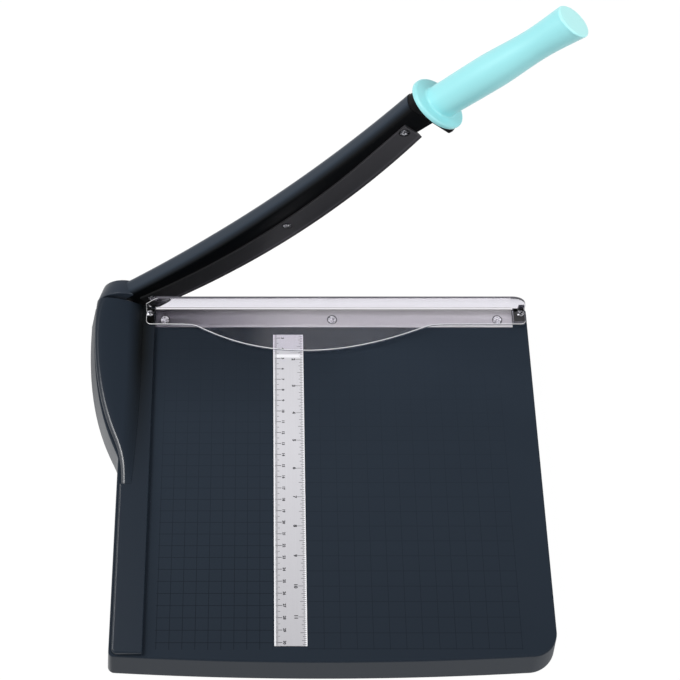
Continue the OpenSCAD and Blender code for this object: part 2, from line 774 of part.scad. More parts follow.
module handle_bore(x0, len, gap)
    translate([x0, grip_y, grip_z]) along() cylinder(r = tang_r + gap, h = len);

module arm() color(dark_arm) in_frame() raised() difference() {
    union() {
        arm_bar();
        arm_knuckle();
        arm_tip();
    }
    translate([0, arm_front - cut, 0]) away() cylinder(d = bush_d + 2 * fit_gap, h = arm_w + 2 * cut);
    handle_bore(arm_end - tang_in, tang_in + cut, fit_gap);
    for (x = blade_screw_x) {
        p = on_arc(x, blade_screw_r);
        translate([p[0], arm_front - cut, p[1]]) away()
            cylinder(r = blade_shank + fit_gap, h = blade_screw_len - blade_t + cut);
    }
}

module moving_blade() color("#333236") in_frame() raised() difference() {
    bevel_w = 3.5;
    edge_t = 0.4;
    clip_len = 60;
    clip_w = 1.2;
    in_r = blade_edge_r - blade_w;
    clip_from = on_arc(blade_end - clip_len, in_r);
    clip_to = on_arc(blade_end, in_r) - [0, clip_w];
    swept(blade_low_x, blade_cz, blade_edge_r, blade_start, blade_end + blade_w / 2) polygon([
        [in_r, blade_gap], [blade_edge_r, blade_gap], [blade_edge_r, blade_gap + edge_t],
        [blade_edge_r - bevel_w, arm_front], [in_r, arm_front]
    ]);
    for (x = blade_screw_x) {
        p = on_arc(x, blade_screw_r);
        translate([p[0], blade_gap, p[1]]) away() {
            translate([0, 0, -cut]) cylinder(r = blade_head + fit_gap, h = cut);
            cylinder(r1 = blade_head + fit_gap, r2 = blade_shank + fit_gap, h = blade_t);
            cylinder(r = blade_shank + fit_gap, h = blade_t + cut);
        }
    }
    // Square end, and the straight run of the upper edge up to it
    translate([blade_end, -cut, -blade_w]) cube([blade_w, arm_front + 2 * cut, 3 * blade_w]);
    translate([0, arm_front + cut, 0]) rotate([90, 0, 0]) linear_extrude(arm_front + 2 * cut)
        polygon([
            clip_from, clip_to + (clip_to - clip_from) / 4,
            clip_to + [blade_w, blade_w], clip_from + [0, blade_w]
        ]);
}

module blade_screws() color(bright) in_frame() raised() for (x = blade_screw_x) {
    p = on_arc(x, blade_screw_r);
    translate([p[0], blade_gap + 0.05, p[1]]) rotate([90, 0, 0])
        countersunk(blade_head, blade_t - 0.05, blade_shank, blade_screw_len - 0.5);
}

module pivot_bush() color("#b08d57") in_frame() raised()
    translate([0, arm_front, 0]) away() difference() {
        cylinder(d = bush_d, h = arm_w);
        translate([0, 0, -cut]) cylinder(r = bolt_d / 2 + fit_gap, h = arm_w + 2 * cut);
    }

module handle_tang() color(steel) in_frame() raised()
    handle_bore(arm_end - tang_in + 0.2, tang_in + stop_t + flange_t + 0.7 * grip_len, 0);

// Directions across the grip's tilted flange and end
flange_y = [-sin(grip_sweep) * cos(grip_tilt), cos(grip_sweep), -sin(grip_sweep) * sin(grip_tilt)];
flange_z = [-sin(grip_tilt), 0, cos(grip_tilt)];

module hand_stop() color(black) in_frame() raised() difference() {
    back = arm_front + stop_w;
    low_edge = 3.5;
    low_back_edge = 10;
    back_edge = 7;
    front_edge = 5.5;
    translate([arm_end, 0, 0]) rotate([90, 0, 90]) linear_extrude(2 * stop_t) polygon(concat(
        arc([arm_front + low_edge, low_edge - stop_lug], low_edge, 180, 270, 5),
        arc([back - low_back_edge, low_back_edge - stop_lug], low_back_edge, 270, 360, 8),
        arc([back - back_edge, stop_top - back_edge], back_edge, 0, 90, 6),
        arc([arm_front + front_edge, stop_top - front_edge], front_edge, 90, 180, 5)
    ));
    // The grip's tilted flange bears on its outer side
    translate([flange_x, grip_y, grip_z]) rotate([0, -grip_tilt, 0]) rotate([0, 0, grip_sweep])
        translate([0, -3 * stop_w, -3 * stop_w]) cube(6 * stop_w);
    handle_bore(arm_end - cut, 2 * stop_t, fit_gap);
}

// Ring of the grip at a distance from the flange's back, parallel to the flange
function grip_ring(s, r) = [for (i = [0:35]) [flange_x + s, grip_y, grip_z]
    + r * cos(10 * i) * flange_y + r * sin(10 * i) * flange_z];

module grip() color(aqua) in_frame() raised() difference() {
    rim = flange_d / 2;
    end = flange_t + grip_len;
    steps = 20;
    loft(concat(
        [grip_ring(0, rim - 1.6), grip_ring(0.5, rim - 0.5), grip_ring(1.6, rim)],
        [grip_ring(flange_t - 1.6, rim), grip_ring(flange_t - 0.5, rim - 0.5)],
        [grip_ring(flange_t, rim - 1.6), grip_ring(flange_t, grip_d / 2 + 2)],
        [grip_ring(flange_t + 0.6, grip_d / 2 + 0.6)],
        [for (i = [1:steps - 1]) grip_ring(flange_t + grip_len * i / steps, grip_r(i / steps))],
        [grip_ring(end - 1.6, grip_r(1)), grip_ring(end - 0.5, grip_r(1) - 0.5)],
        [grip_ring(end, grip_r(1) - 1.6)]
    ));
    handle_bore(flange_x - 2 * stop_t, 2 * stop_t + flange_t + 0.72 * grip_len, fit_gap);
}

base_board();
fence_rail();
rail_screws();
hinge_cover();
cover_screws();
hinge_bracket();
bracket_screws();
pivot_bolt();
thrust_washer();
spring_washer();
pivot_spring();
spring_cup();
lock_nut();
fixed_knife();
knife_screws();
finger_guard();
guard_pad();
guard_screws();
ruler_strip();
rubber_foot(0, 0);  // foot_front_left
rubber_foot(1, 0);  // foot_front_right
rubber_foot(0, 1);  // foot_back_left
rubber_foot(1, 1);  // foot_back_right
arm();
moving_blade();
blade_screws();
pivot_bush();
handle_tang();
hand_stop();
grip();
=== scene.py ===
"""Desk paper cutter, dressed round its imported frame.

Sizes are in millimetres. Places count x right from the paper stop, y away from the user from
the cutting line, and z up from the desk, until to_frame() takes them to the part's own frame.
"""
import functools
import math

import bmesh
import bpy
import numpy as np
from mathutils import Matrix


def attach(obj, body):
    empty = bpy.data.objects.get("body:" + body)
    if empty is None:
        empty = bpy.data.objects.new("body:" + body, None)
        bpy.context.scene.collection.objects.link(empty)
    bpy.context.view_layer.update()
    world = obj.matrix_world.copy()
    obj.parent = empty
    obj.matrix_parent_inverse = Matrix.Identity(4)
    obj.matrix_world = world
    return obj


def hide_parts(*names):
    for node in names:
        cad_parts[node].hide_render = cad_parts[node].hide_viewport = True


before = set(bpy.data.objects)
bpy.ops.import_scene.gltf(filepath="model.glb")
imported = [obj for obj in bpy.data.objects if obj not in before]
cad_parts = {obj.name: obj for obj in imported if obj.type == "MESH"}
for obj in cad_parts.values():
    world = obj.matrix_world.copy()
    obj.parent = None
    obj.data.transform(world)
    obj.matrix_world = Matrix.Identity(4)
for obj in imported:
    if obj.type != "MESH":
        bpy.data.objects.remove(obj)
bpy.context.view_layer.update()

# Base board: one injection moulded ABS tray in dark slate with a fine satin grain, a drafted
# skirt, a bowed front and a bulge at the hinge. Its top is printed with a faint measuring grid,
# 10 mm squares left of the ruler and half inch squares right of it.

TOP_Z = 35.0
RIM_Z = 2.0
WALL = 3.0
BACK_Y = -0.5
BOARD_DEPTH = 310.8
BOARD_LEFT, BOARD_RIGHT = -26.5, 319.7
FRONT_BOW = 4.6
FLARE = 3.0
BULGE_RIM, BULGE_TOP = 29.2, 25.6
BULGE_FROM, BULGE_TO = 10.0, 144.0
TOP_ROUND, RIM_ROUND = 1.5, 0.8
GRID_LINE = 0.44
GRID_FRONT = -305.5
PIVOT = np.array([-28.5, 33.0])
FRAME_SHIFT = np.array([-132.0, 143.557, 0.0])


def to_frame(points):
    """Shifts places in millimetres so that the origin lies under the part's middle, in metres."""
    return (np.asarray(points, float) + FRAME_SHIFT) / 1000


def linear(code):
    """sRGB hex to linear colour: a channel c is ((c + 0.055) / 1.055) to the 2.4, or c / 12.92."""
    c = np.array([int(code[i:i + 2], 16) for i in (1, 3, 5)]) / 255
    return (*np.where(c <= 0.04045, c / 12.92, ((c + 0.055) / 1.055) ** 2.4), 1.0)


def add_node(tree, kind, inputs=(), to=None, **settings):
    """Adds a shader node: settings are its properties, and inputs, listed in order or by name or
    number, are values, colour codes, sockets to link, or nodes, which stand for their first output
    in use. The new node's own first output in use is linked to the socket to. A MapRange lists
    a value, the range it comes from and the range it goes to; a Mix has its share at 0, and two
    colours at 6 and 7 or two values at 2 and 3."""
    node = tree.nodes.new("ShaderNode" + kind)
    for key, value in settings.items():
        setattr(node, key, value)
    for key, value in inputs.items() if isinstance(inputs, dict) else enumerate(inputs):
        if isinstance(value, bpy.types.Node):
            value = next(socket for socket in value.outputs if socket.enabled)
        if isinstance(value, bpy.types.NodeSocket):
            tree.links.new(value, node.inputs[key])
        else:
            node.inputs[key].default_value = linear(value) if isinstance(value, str) else value
    if to is not None:
        tree.links.new(next(socket for socket in node.outputs if socket.enabled), to)
    return node


def empty_tree(owner):
    """Clears the node tree of a material or world, and returns add_node() for that tree."""
    owner.use_nodes = True
    owner.node_tree.nodes.clear()
    return functools.partial(add_node, owner.node_tree)


def start_material(name, colour, roughness, **values):
    """New material with one Principled shader. Returns it, add_node() for its tree, the shader's
    inputs and the place on the object in metres."""
    material = bpy.data.materials.new(name)
    add = empty_tree(material)
    sockets = {"Base Color": colour, "Roughness": roughness}
    sockets.update({key.replace("_", " "): value for key, value in values.items()})
    principled = add("BsdfPrincipled", sockets)
    add("OutputMaterial", {"Surface": principled})
    return material, add, principled.inputs, add("TexCoord").outputs["Object"]


def in_millimetres(add, place):
    """A place on the object, counted in millimetres as the sizes here are, and its three axes."""
    mm = add("Mapping", {"Vector": place, "Location": -FRAME_SHIFT, "Scale": (1000, 1000, 1000)})
    return mm, add("SeparateXYZ", (mm,)).outputs


def grained(add, shader, place, scale, strength, depth, detail=2.0):
    """Raises a noise from the surface, with grains of 1 / scale, and returns its pattern."""
    noise = add("TexNoise", {"Vector": place, "Scale": scale, "Detail": detail})
    add("Bump", {"Height": noise, "Strength": strength, "Distance": depth}, to=shader["Normal"])
    return noise


def printed_grid(add, axes, pitch, x_range, y_range):
    """1 on lines at whole multiples of a pitch inside a rectangle of the top, by folding x and y."""
    fold = [add("Math", (axes[k], pitch / 2), operation="PINGPONG") for k in (0, 1)]
    near = add("Math", (fold[0], fold[1]), operation="MINIMUM")
    mask = add("Math", (near, GRID_LINE / 2), operation="LESS_THAN")
    for axis, (low, high) in zip(axes, (x_range, y_range, (TOP_Z - 0.1, TOP_Z + 0.1))):
        inside = add("Math", (axis, (low + high) / 2, (high - low) / 2), operation="COMPARE")
        mask = add("Math", (mask, inside), operation="MULTIPLY")
    return mask


# Moulded ABS looks matt and even. Its grain is about 0.15 mm and is drawn at 0.7 mm, the finest
# that still shows. The grid is thin ink lines a little darker than the plastic.
GRAIN = 0.7
board_abs, add, shader, place = start_material("moulded_slate_abs", "#262f3a", 0.55)
mm, axes = in_millimetres(add, place)
left_grid = printed_grid(add, axes, 10.0, (9.0, 100.0), (GRID_FRONT, -29.5))
right_grid = printed_grid(add, axes, 12.7, (127.0, 293.0), (GRID_FRONT, -37.5))
right_grid = add("Math", (right_grid, 0.65), operation="MULTIPLY")
ink = add("Math", (left_grid, right_grid), operation="MAXIMUM")
cloud = add("TexNoise", {"Vector": mm, "Scale": 1 / 70, "Detail": 2.0})
tone = add("Mix", {0: cloud, 6: "#262e38", 7: "#29313b"}, data_type="RGBA")
# Painted shade and light: near the knife the top is darker on the left, where the arm and guard
# shade it, and paler on the right; further from the knife it is a little darker towards the front.
close = add("MapRange", (axes[1], -110.0, -40.0))
painted_light_and_shade = add("MapRange", (axes[0], 90.0, 190.0, 0.76, 1.12))
front = add("MapRange", (axes[1], -290.0, -170.0, 0.89, 1.0))
painted_light_and_shade = add("Mix", {0: close, 2: front, 3: painted_light_and_shade})
tone = add("VectorMath", {0: tone, "Scale": painted_light_and_shade}, operation="SCALE")
# The print is worn most near the knife, where paper is pushed about.
wear_and_glint = add("MapRange", (axes[1], -300.0, -60.0, 0.75, 0.12))
faint = add("Math", (ink, wear_and_glint), operation="MULTIPLY")
add("Mix", {0: faint, 6: tone, 7: "#10141b"}, to=shader["Base Color"], data_type="RGBA")
grained(add, shader, mm, 1 / GRAIN, 0.06, 0.0002)
# The skirt is glossier than the textured top and picks up the white of the desk. Sleeves polish
# the left side of the bulge, most of all near its foot and towards the user.
facing = add("NewGeometry").outputs["True Normal"]
leftward, _, upward = add("SeparateXYZ", (facing,)).outputs
sheen = add("MapRange", (upward, 0.2, 0.9, 0.19, 0.04))
polish = add("MapRange", (leftward, -0.85, -0.35, 0.14, 0.0))
low_down = add("MapRange", (axes[2], 4.0, 32.0, 1.0, 0.05))
polish = add("Math", (polish, low_down), operation="MULTIPLY")
add("Math", (sheen, polish), to=shader["Specular IOR Level"], operation="ADD")
smooth = add("MapRange", (axes[1], -110.0, -55.0, 0.33, 0.48))
add("MapRange", (leftward, -0.85, -0.35, smooth, 0.55), to=shader["Roughness"])


def arc(centre, radius, start, stop, steps):
    """Points on a circle between two angles in degrees."""
    a = np.radians(np.linspace(start, stop, steps + 1))
    return np.asarray(centre, float) + radius * np.stack([np.cos(a), np.sin(a)], 1)


def bezier(a, b, c, d, t):
    """Cubic with end values a and d and inner handles b and c."""
    return a * (1 - t) ** 3 + 3 * b * t * (1 - t) ** 2 + 3 * c * t * t * (1 - t) + d * t ** 3


def taper(steps=56):
    """Distance from the cutting line, and share of the full bulge, along the bulge's taper."""
    t = np.linspace(0, 1, steps + 1)
    run = BULGE_TO - BULGE_FROM
    v = bezier(BULGE_FROM, BULGE_FROM + 0.7 * run, BULGE_TO - 0.06 * run, BULGE_TO, t)
    return v, bezier(1.0, 1.0, 0.0, 0.0, t)


def base_outline(grow, bulge, setback=0.0):
    """Outline of the tray grown outwards: bulge, front left corner, bowed front, right corners."""
    left, right = BOARD_LEFT - grow, BOARD_RIGHT + grow
    front, back = -BOARD_DEPTH - grow, BACK_Y - setback
    round_l, round_r, round_b = 4.5 + grow / 3, 20 + grow, 3.0
    v, share = taper()
    u = np.linspace(-1, 1, 41)[1:-1]
    bow_from, bow_to = left + round_l, right - round_r
    bow = np.stack([bow_from + (bow_to - bow_from) * (u + 1) / 2, front - FRONT_BOW * (1 - u * u)], 1)
    return np.concatenate([
        [[left - bulge, back]],
        np.stack([left - bulge * share, -v], 1),
        arc([left + round_l, front + round_l], round_l, 180, 270, 12),
        bow,
        arc([right - round_r, front + round_r], round_r, 270, 360, 20),
        arc([right - round_b, back - round_b], round_b, 0, 90, 8),
    ])


def set_at(outline, axis, value):
    """Gives a flat outline its place in space: value becomes its coordinate on one axis."""
    return np.insert(np.asarray(outline, float), axis, value, axis=1)


def wall_ring(z, inset):
    """Outside of the skirt at a height, moved inwards: the draft runs straight from rim to top."""
    k = (z - RIM_Z) / (TOP_Z - RIM_Z)
    return set_at(base_outline(FLARE * (1 - k) - inset, BULGE_RIM + (BULGE_TOP - BULGE_RIM) * k), 2, z)


def skin(rings):
    """Closed surface through rings: quads join each ring to the next, one face closes each end."""
    rings = np.asarray(rings, float)
    count, n = rings.shape[:2]
    i = np.arange(n)
    j = (i + 1) % n
    k = n * np.arange(count - 1)[:, None]
    quads = np.stack([k + i, k + j, k + n + j, k + n + i], -1).reshape(-1, 4)
    ends = [i[::-1].tolist(), (i + n * (count - 1)).tolist()]
    return rings.reshape(-1, 3), quads.tolist() + ends


def joined(*shapes):
    """Several shapes as one: faces count on from the points of the shapes before."""
    points, faces, start = [], [], 0
    for p, f in shapes:
        points.append(p)
        faces += [[start + q for q in face] for face in f]
        start += len(p)
    return np.concatenate(points), faces


def boxes(corners):
    """Boxes from rows of low x, y, z and high x, y, z."""
    c = np.asarray(corners, float)
    pick = np.array([[0, 1, 2], [3, 1, 2], [3, 4, 2], [0, 4, 2], [0, 1, 5], [3, 1, 5], [3, 4, 5], [0, 4, 5]])
    sides = np.array([[3, 2, 1, 0], [4, 5, 6, 7], [0, 1, 5, 4], [1, 2, 6, 5], [2, 3, 7, 6], [3, 0, 4, 7]])
    faces = (8 * np.arange(len(c))[:, None, None] + sides).reshape(-1, 4)
    return c[:, pick].reshape(-1, 3), faces.tolist()


def fill_mesh(name, shape):
    """Mesh of a closed shape in the part's frame, with its faces turned outwards."""
    points, faces = shape
    mesh = bpy.data.meshes.new(name)
    mesh.from_pydata(to_frame(points).tolist(), [], faces)
    work = bmesh.new()
    work.from_mesh(mesh)
    bmesh.ops.recalc_face_normals(work, faces=work.faces)
    work.to_mesh(mesh)
    work.free()
    return mesh


def add_object(name, data):
    """Object for a mesh, lamp or camera, in the scene."""
    thing = bpy.data.objects.new(name, data)
    bpy.context.scene.collection.objects.link(thing)
    return thing


def carve(mesh, shape):
    """Cuts closed shapes out of a mesh and returns the cut mesh."""
    objects = [add_object("carve", m) for m in (mesh, fill_mesh("cutter", shape))]
    cut = objects[0].modifiers.new("cut", "BOOLEAN")
    cut.object, cut.operation, cut.solver = objects[1], "DIFFERENCE", "EXACT"
    graph = bpy.context.evaluated_depsgraph_get()
    result = bpy.data.meshes.new_from_object(objects[0].evaluated_get(graph))
    for o in objects:
        bpy.data.objects.remove(o)
    return result


def add_piece(name, shape, material, body, slot, *nodes, cuts=None):
    """Object from a closed shape, shaded smooth below 35 degrees, on its body and for its nodes."""
    mesh = fill_mesh(name, shape)
    if cuts is not None:
        mesh = carve(mesh, cuts)
    mesh.name = name
    mesh.shade_smooth()
    mesh.set_sharp_from_angle(angle=math.radians(35))
    mesh.materials.clear()
    mesh.materials.append(material)
    piece = add_object(name, mesh)
    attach(piece, body)
    if nodes:
        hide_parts(*nodes)
    return piece


quarter = np.radians(np.linspace(0, 90, 7))
shell = [set_at(base_outline(-WALL, BULGE_TOP, WALL), 2, TOP_Z - WALL),
         set_at(base_outline(-0.1, BULGE_RIM, WALL), 2, RIM_Z + 0.5),
         set_at(base_outline(0.4, BULGE_RIM, WALL - 0.4), 2, RIM_Z)]
shell += [wall_ring(RIM_Z + RIM_ROUND * (1 - math.cos(a)), RIM_ROUND * (1 - math.sin(a)))
          for a in quarter[::2]]
shell += [wall_ring(z, 0.0) for z in np.linspace(RIM_Z + 2, TOP_Z - TOP_ROUND - 1, 7)]
shell += [wall_ring(TOP_Z - TOP_ROUND * (1 - math.sin(a)), TOP_ROUND * (1 - math.cos(a))) for a in quarter]
shell += [wall_ring(TOP_Z, TOP_ROUND + 0.4)]

# The knife, the ruler, the hinge and the pivot bolt have seats cut into the top and the back.
KNIFE_LENGTH, KNIFE_WIDTH, KNIFE_TOP, KNIFE_THICK = 307.0, 19.0, 35.5, 3.0
RULER = (101.2, 126.7, -302.8, -26.6)
RULER_THICK = 0.8
WELL = (-46.0, -13.7, -63.0, -3.5)
WELL_FLOOR = 12.0
SEAT_GAP = 0.05
ABOVE = 40.0
BOLT_GAP_R = 5.3
bolt_slot = np.concatenate([
    [[PIVOT[0] - BOLT_GAP_R, ABOVE]], arc(PIVOT, BOLT_GAP_R, 180, 360, 16), [[PIVOT[0] + BOLT_GAP_R, ABOVE]]])
seats = joined(
    boxes([[0, -KNIFE_WIDTH - SEAT_GAP, KNIFE_TOP - KNIFE_THICK, KNIFE_LENGTH + SEAT_GAP, 2, ABOVE],
           [RULER[0] - SEAT_GAP, RULER[2] - SEAT_GAP, TOP_Z - RULER_THICK / 2,
            RULER[1] + SEAT_GAP, RULER[3] + SEAT_GAP, ABOVE],
           [WELL[0], WELL[2], WELL_FLOOR, WELL[1], WELL[3], ABOVE]]),
    skin([set_at(bolt_slot, 1, y) for y in (-4.5, 1.0)]))
board = add_piece("base_board", skin(shell), board_abs, "base", "board_plastic", "base_board", cuts=seats)
# The level faces are flat, so that no shade spreads over the top from the seats cut into it.
normals = np.empty(3 * len(board.data.polygons))
board.data.polygons.foreach_get("normal", normals)
board.data.polygons.foreach_set("use_smooth", np.abs(normals[2::3]) < 0.9999)

# Underside of the base: moulded ribs, the bed of the knife with its screw bosses, the hinge
# well and the columns over the feet, all in one shot with the tray.

RIB_PITCH, RIB_THICK, RIB_LOW = 36.0, 2.0, 14.0
WELL_LOW, BED_LOW, BOSS_LOW = 4.0, 26.0, 20.0
COLUMN_R, BOSS_R = 11.0, 4.5
FEET = np.array([[2, -292], [299.7, -292], [2, -22], [299.7, -22]])
KNIFE_SCREWS = [(8.1, -12.0), (151.9, -12.0), (294.1, -12.0)]


def lathe(profile, turns=48):
    """Rings of a turned shape: each (radius, height) of the profile goes round the z axis."""
    a = np.linspace(0, 2 * np.pi, turns, endpoint=False)
    p = np.asarray(profile, float)
    return np.stack([p[:, :1] * np.cos(a), p[:, :1] * np.sin(a), np.repeat(p[:, 1:], turns, 1)], -1)


def edge_at(points, axis, places):
    """Other coordinate of an edge at places along one axis, by straight lines between its points."""
    points = points[np.argsort(points[:, axis])]
    return np.interp(places, points[:, axis], points[:, 1 - axis])


bound = base_outline(-0.6, BULGE_TOP - 1.0, 1.5)
rib_x = np.arange(0, BOARD_RIGHT, RIB_PITCH)
rib_y = -np.arange(RIB_PITCH, BOARD_DEPTH - WALL, RIB_PITCH)
rib_front = edge_at(bound[bound[:, 1] < -BOARD_DEPTH + 30], 0, rib_x)
rib_left = edge_at(bound[bound[:, 0] < BOARD_LEFT + 12], 1, rib_y)
rib_right = edge_at(bound[bound[:, 0] > BOARD_RIGHT - 30], 1, rib_y)
half = RIB_THICK / 2
under = TOP_Z - WALL + 0.3
ribs = [[x - half, front, RIB_LOW, x + half, -2.0, under] for x, front in zip(rib_x, rib_front)]
ribs += [[WELL[1] + 1 if y > WELL[2] else left, y - half, RIB_LOW, right, y + half, under]
         for y, left, right in zip(rib_y, rib_left, rib_right)]
wx0, wx1, wy0, wy1 = WELL[0] - 1.3, WELL[1] + 2.5, WELL[2] - 2.5, WELL[3] + 1.5
well = [[wx0, wy0, WELL_LOW, wx1, wy1, WELL_FLOOR], [wx0, wy0, WELL_FLOOR, WELL[0], wy1, under],
        [WELL[1], wy0, WELL_FLOOR, wx1, wy1, under], [WELL[0], wy0, WELL_FLOOR, WELL[1], WELL[2], under]]
bed = [[wx1, -22.0, BED_LOW, BOARD_RIGHT - 2, -2.0, under]]
column = lathe([[COLUMN_R - 0.4, RIM_Z], [COLUMN_R, RIM_Z + 0.4], [COLUMN_R, under]])
boss = lathe([[BOSS_R - 0.3, BOSS_LOW], [BOSS_R, BOSS_LOW + 0.3], [BOSS_R, BED_LOW + 1]], 32)
posts = [skin(column + [x, y, 0]) for x, y in FEET] + [skin(boss + [x, y, 0]) for x, y in KNIFE_SCREWS]
add_piece("base_ribs", joined(boxes(ribs + well + bed), *posts), board_abs, "base", "board_plastic")

# Feet: four round pads of black rubber that grip the desk. Each is moulded with a rounded rim
# and pressed into a seat in its column.

# Moulded rubber is dull and faintly grainy, with specks of about 1.1 mm.
rubber, add, shader, place = start_material("foot_rubber", "#161617", 0.85, IOR=1.52)
grained(add, shader, place, 900.0, 0.3, 0.0003, detail=3.0)
foot = np.concatenate([[[6.0, 0.0]], arc([6.4, 0.6], 0.6, 270, 350, 4), [[8.0, 1.5], [8.0, 4.2], [7.7, 4.5]]])
for node, (x, y) in zip(("foot_front_left", "foot_front_right", "foot_back_left", "foot_back_right"), FEET):
    add_piece(node, skin(lathe(foot) + [x, y, 0]), rubber, "base", "foot_rubber", node)

# Fence rail: a raised ABS strip on the left whose straight inner edge squares the paper. It is
# screwed on from below, and steps round the hinge cover.

RAIL_HIGH, RAIL_LEFT = 5.0, -23.8
RAIL_FRONT = -BOARD_DEPTH + 1.0
COVER_LENGTH, COVER_HIGH = 168.0, 18.7
CREASE_X, CREASE_FROM, CREASE_BEND = -10.2, 60.0, 4.0

# The rail and the hinge cover are polished a little by hands. Painted shade darkens the crease
# between them: it fades over the cover's flank, over the rail and along towards the user.
trim_abs, add, shader, place = start_material(
    "handled_slate_abs", "#222a34", 0.3, Specular_IOR_Level=0.15, Coat_Roughness=0.24, Coat_IOR=1.9)
mm, axes = in_millimetres(add, place)
bend = add("MapRange", (axes[1], -CREASE_FROM, -COVER_LENGTH))
bend = add("Math", (bend, 2.0), operation="POWER")
bend = add("Math", (bend, CREASE_BEND, 1.0 - CREASE_X), operation="MULTIPLY_ADD")
away = add("Math", (axes[0], bend), operation="ADD")
flank = add("MapRange", (away, -11.0, -1.0))
strip = add("MapRange", (away, 18.0, 2.0))
near = add("Math", (flank, strip), operation="MINIMUM")
fade = add("MapRange", (axes[1], -175.0, -50.0))
share = add("Math", (near, fade), operation="MULTIPLY")
add("Mix", {0: share, 6: "#222a34", 7: "#0b0e10"}, to=shader["Base Color"], data_type="RGBA")
# Only the upper edges that face left are rubbed to a gloss, on the cover more towards the user.
facing = add("SeparateXYZ", (add("NewGeometry").outputs["Normal"],)).outputs
left = add("MapRange", (facing[0], -0.05, -0.3))
upper = add("MapRange", (facing[2], 0.45, 0.75))
on_cover = add("MapRange", (axes[1], -170.0, -166.0, 0.2, 1.0))
handled = add("MapRange", (axes[1], -145.0, -65.0, 0.8, 0.06))
gloss = add("Math", (left, upper), operation="MULTIPLY")
gloss = add("Math", (gloss, on_cover), operation="MULTIPLY")
add("Math", (gloss, handled), to=shader["Coat Weight"], operation="MULTIPLY")
grained(add, shader, mm, 1 / GRAIN, 0.06, 0.0002)


def inset(outline, distance):
    """Moves each corner of a closed outline inwards along its mitre."""
    edge = np.roll(outline, -1, 0) - outline
    edge = edge / np.linalg.norm(edge, axis=1)[:, None]
    after = np.column_stack([-edge[:, 1], edge[:, 0]])
    before = np.roll(after, 1, 0)
    mitre = (before + after) / (1 + (before * after).sum(1))[:, None]
    return outline + np.atleast_1d(distance)[:, None] * mitre


def slab(outline, low, high, rounding, steps=4, soft=1.0):
    """Plate of an outline whose two rims are quarter circles, with a flat margin inside each. The
    share soft, one for all corners or one for each, tells how much of the rounding they take."""
    a = np.radians(np.linspace(0, 90, steps + 1))
    ins = rounding * np.concatenate([[1.3], 1 - np.sin(a), 1 - np.cos(a), [1.3]])
    up = rounding * np.concatenate([[0.0], 1 - np.cos(a)])
    heights = np.concatenate([low + up, (high - up)[::-1]])
    return np.array([set_at(inset(outline, d * np.asarray(soft)), 2, z) for d, z in zip(ins, heights)])


def cover_edge(v):
    """Crease between cover and rail: straight at first, then it bends left by a square law."""
    return CREASE_X - CREASE_BEND * (np.maximum(0, v - CREASE_FROM) / (COVER_LENGTH - CREASE_FROM)) ** 2


crease = np.linspace(CREASE_FROM, COVER_LENGTH, 13)
beside = np.concatenate([
    [[cover_edge(0), BACK_Y]], np.column_stack([cover_edge(crease), -crease]),
    [[cover_edge(COVER_LENGTH), -COVER_LENGTH - 0.1], [RAIL_LEFT, -COVER_LENGTH - 0.1]]])
outside = np.concatenate([
    [[RAIL_LEFT, -COVER_LENGTH - 2]], arc([RAIL_LEFT + 4, RAIL_FRONT + 4], 4, 180, 270, 10)])
stop_edge = np.concatenate([arc([-1.2, RAIL_FRONT + 1.2], 1.2, 270, 360, 5), [[0.0, BACK_Y]]])
soft = np.repeat([0.05, 1.0, 0.5], [len(beside), len(outside), len(stop_edge)])
rail = slab(np.concatenate([beside, outside, stop_edge]), TOP_Z, TOP_Z + RAIL_HIGH, 1.4, soft=soft)
add_piece("fence_rail", skin(rail), trim_abs, "base", "board_plastic", "fence_rail")

# Hinge cover: a thin moulded ABS hump over the spring and nut. It slopes down towards the user
# until it is level with the rail, and its left edge follows the bulge of the base. Screws from
# below hold it.

COVER_WALL = 2.2


def cover_path(v, share, wall):
    """Roof line of the section at v: left foot, an upright side, a quarter circle up to the ridge,
    then a fall by a power of the width, which steepens towards the rail. The foot stands a little
    inside the tray's edge, and draws in further at the back and, by a cube law, at the front."""
    drawn_in = 0.9 + 1.4 * math.exp(-v / 20) + 3.0 * (v / COVER_LENGTH) ** 3
    x0 = BOARD_LEFT - BULGE_TOP * share + drawn_in + wall
    x1 = cover_edge(v) - 0.1 - wall
    top = COVER_HIGH - (COVER_HIGH - RAIL_HIGH) * v / COVER_LENGTH - wall
    rest = RAIL_HIGH - wall
    turn = min(3.4 + 5.0 * math.exp(-v / 12), 0.8 * top)
    u = np.linspace(0, 1, 24)
    left = arc([x0 + turn, TOP_Z + top - turn], turn, 180, 92, 16)
    right = np.stack([x0 + turn + u * (x1 - x0 - turn), TOP_Z + rest + (top - rest) * (1 - u ** 1.8)], 1)
    return np.concatenate([[[x0, TOP_Z]], left, right, [[x1, TOP_Z]]])


def cover_ring(v, share, hollow):
    """Section of the cover: its roof outside, then back along the hollow or flat along its foot."""
    roof = cover_path(v, share, 0.0)
    if hollow:
        back = cover_path(v, share, COVER_WALL)[::-1]
    else:
        back = set_at(np.linspace(roof[-1, 0] - 0.6, roof[0, 0] + 0.6, len(roof))[:, None], 1, TOP_Z)
    return set_at(np.concatenate([roof, back]), 1, -v)


# The cover eases out of the bulge more gently than the tray: its share is a mean over 28 mm.
v_steps = np.concatenate([[0.5, 2.7, 2.75], np.linspace(5, COVER_LENGTH, 60)])
shares = np.mean([np.interp(v_steps + shift, *taper()) for shift in np.linspace(-14, 14, 15)], 0)
cover = [cover_ring(v, share, v > 2.7 and share > 0.12) for v, share in zip(v_steps, shares)]
add_piece("hinge_cover", skin(cover), trim_abs, "base", "board_plastic", "hinge_cover")
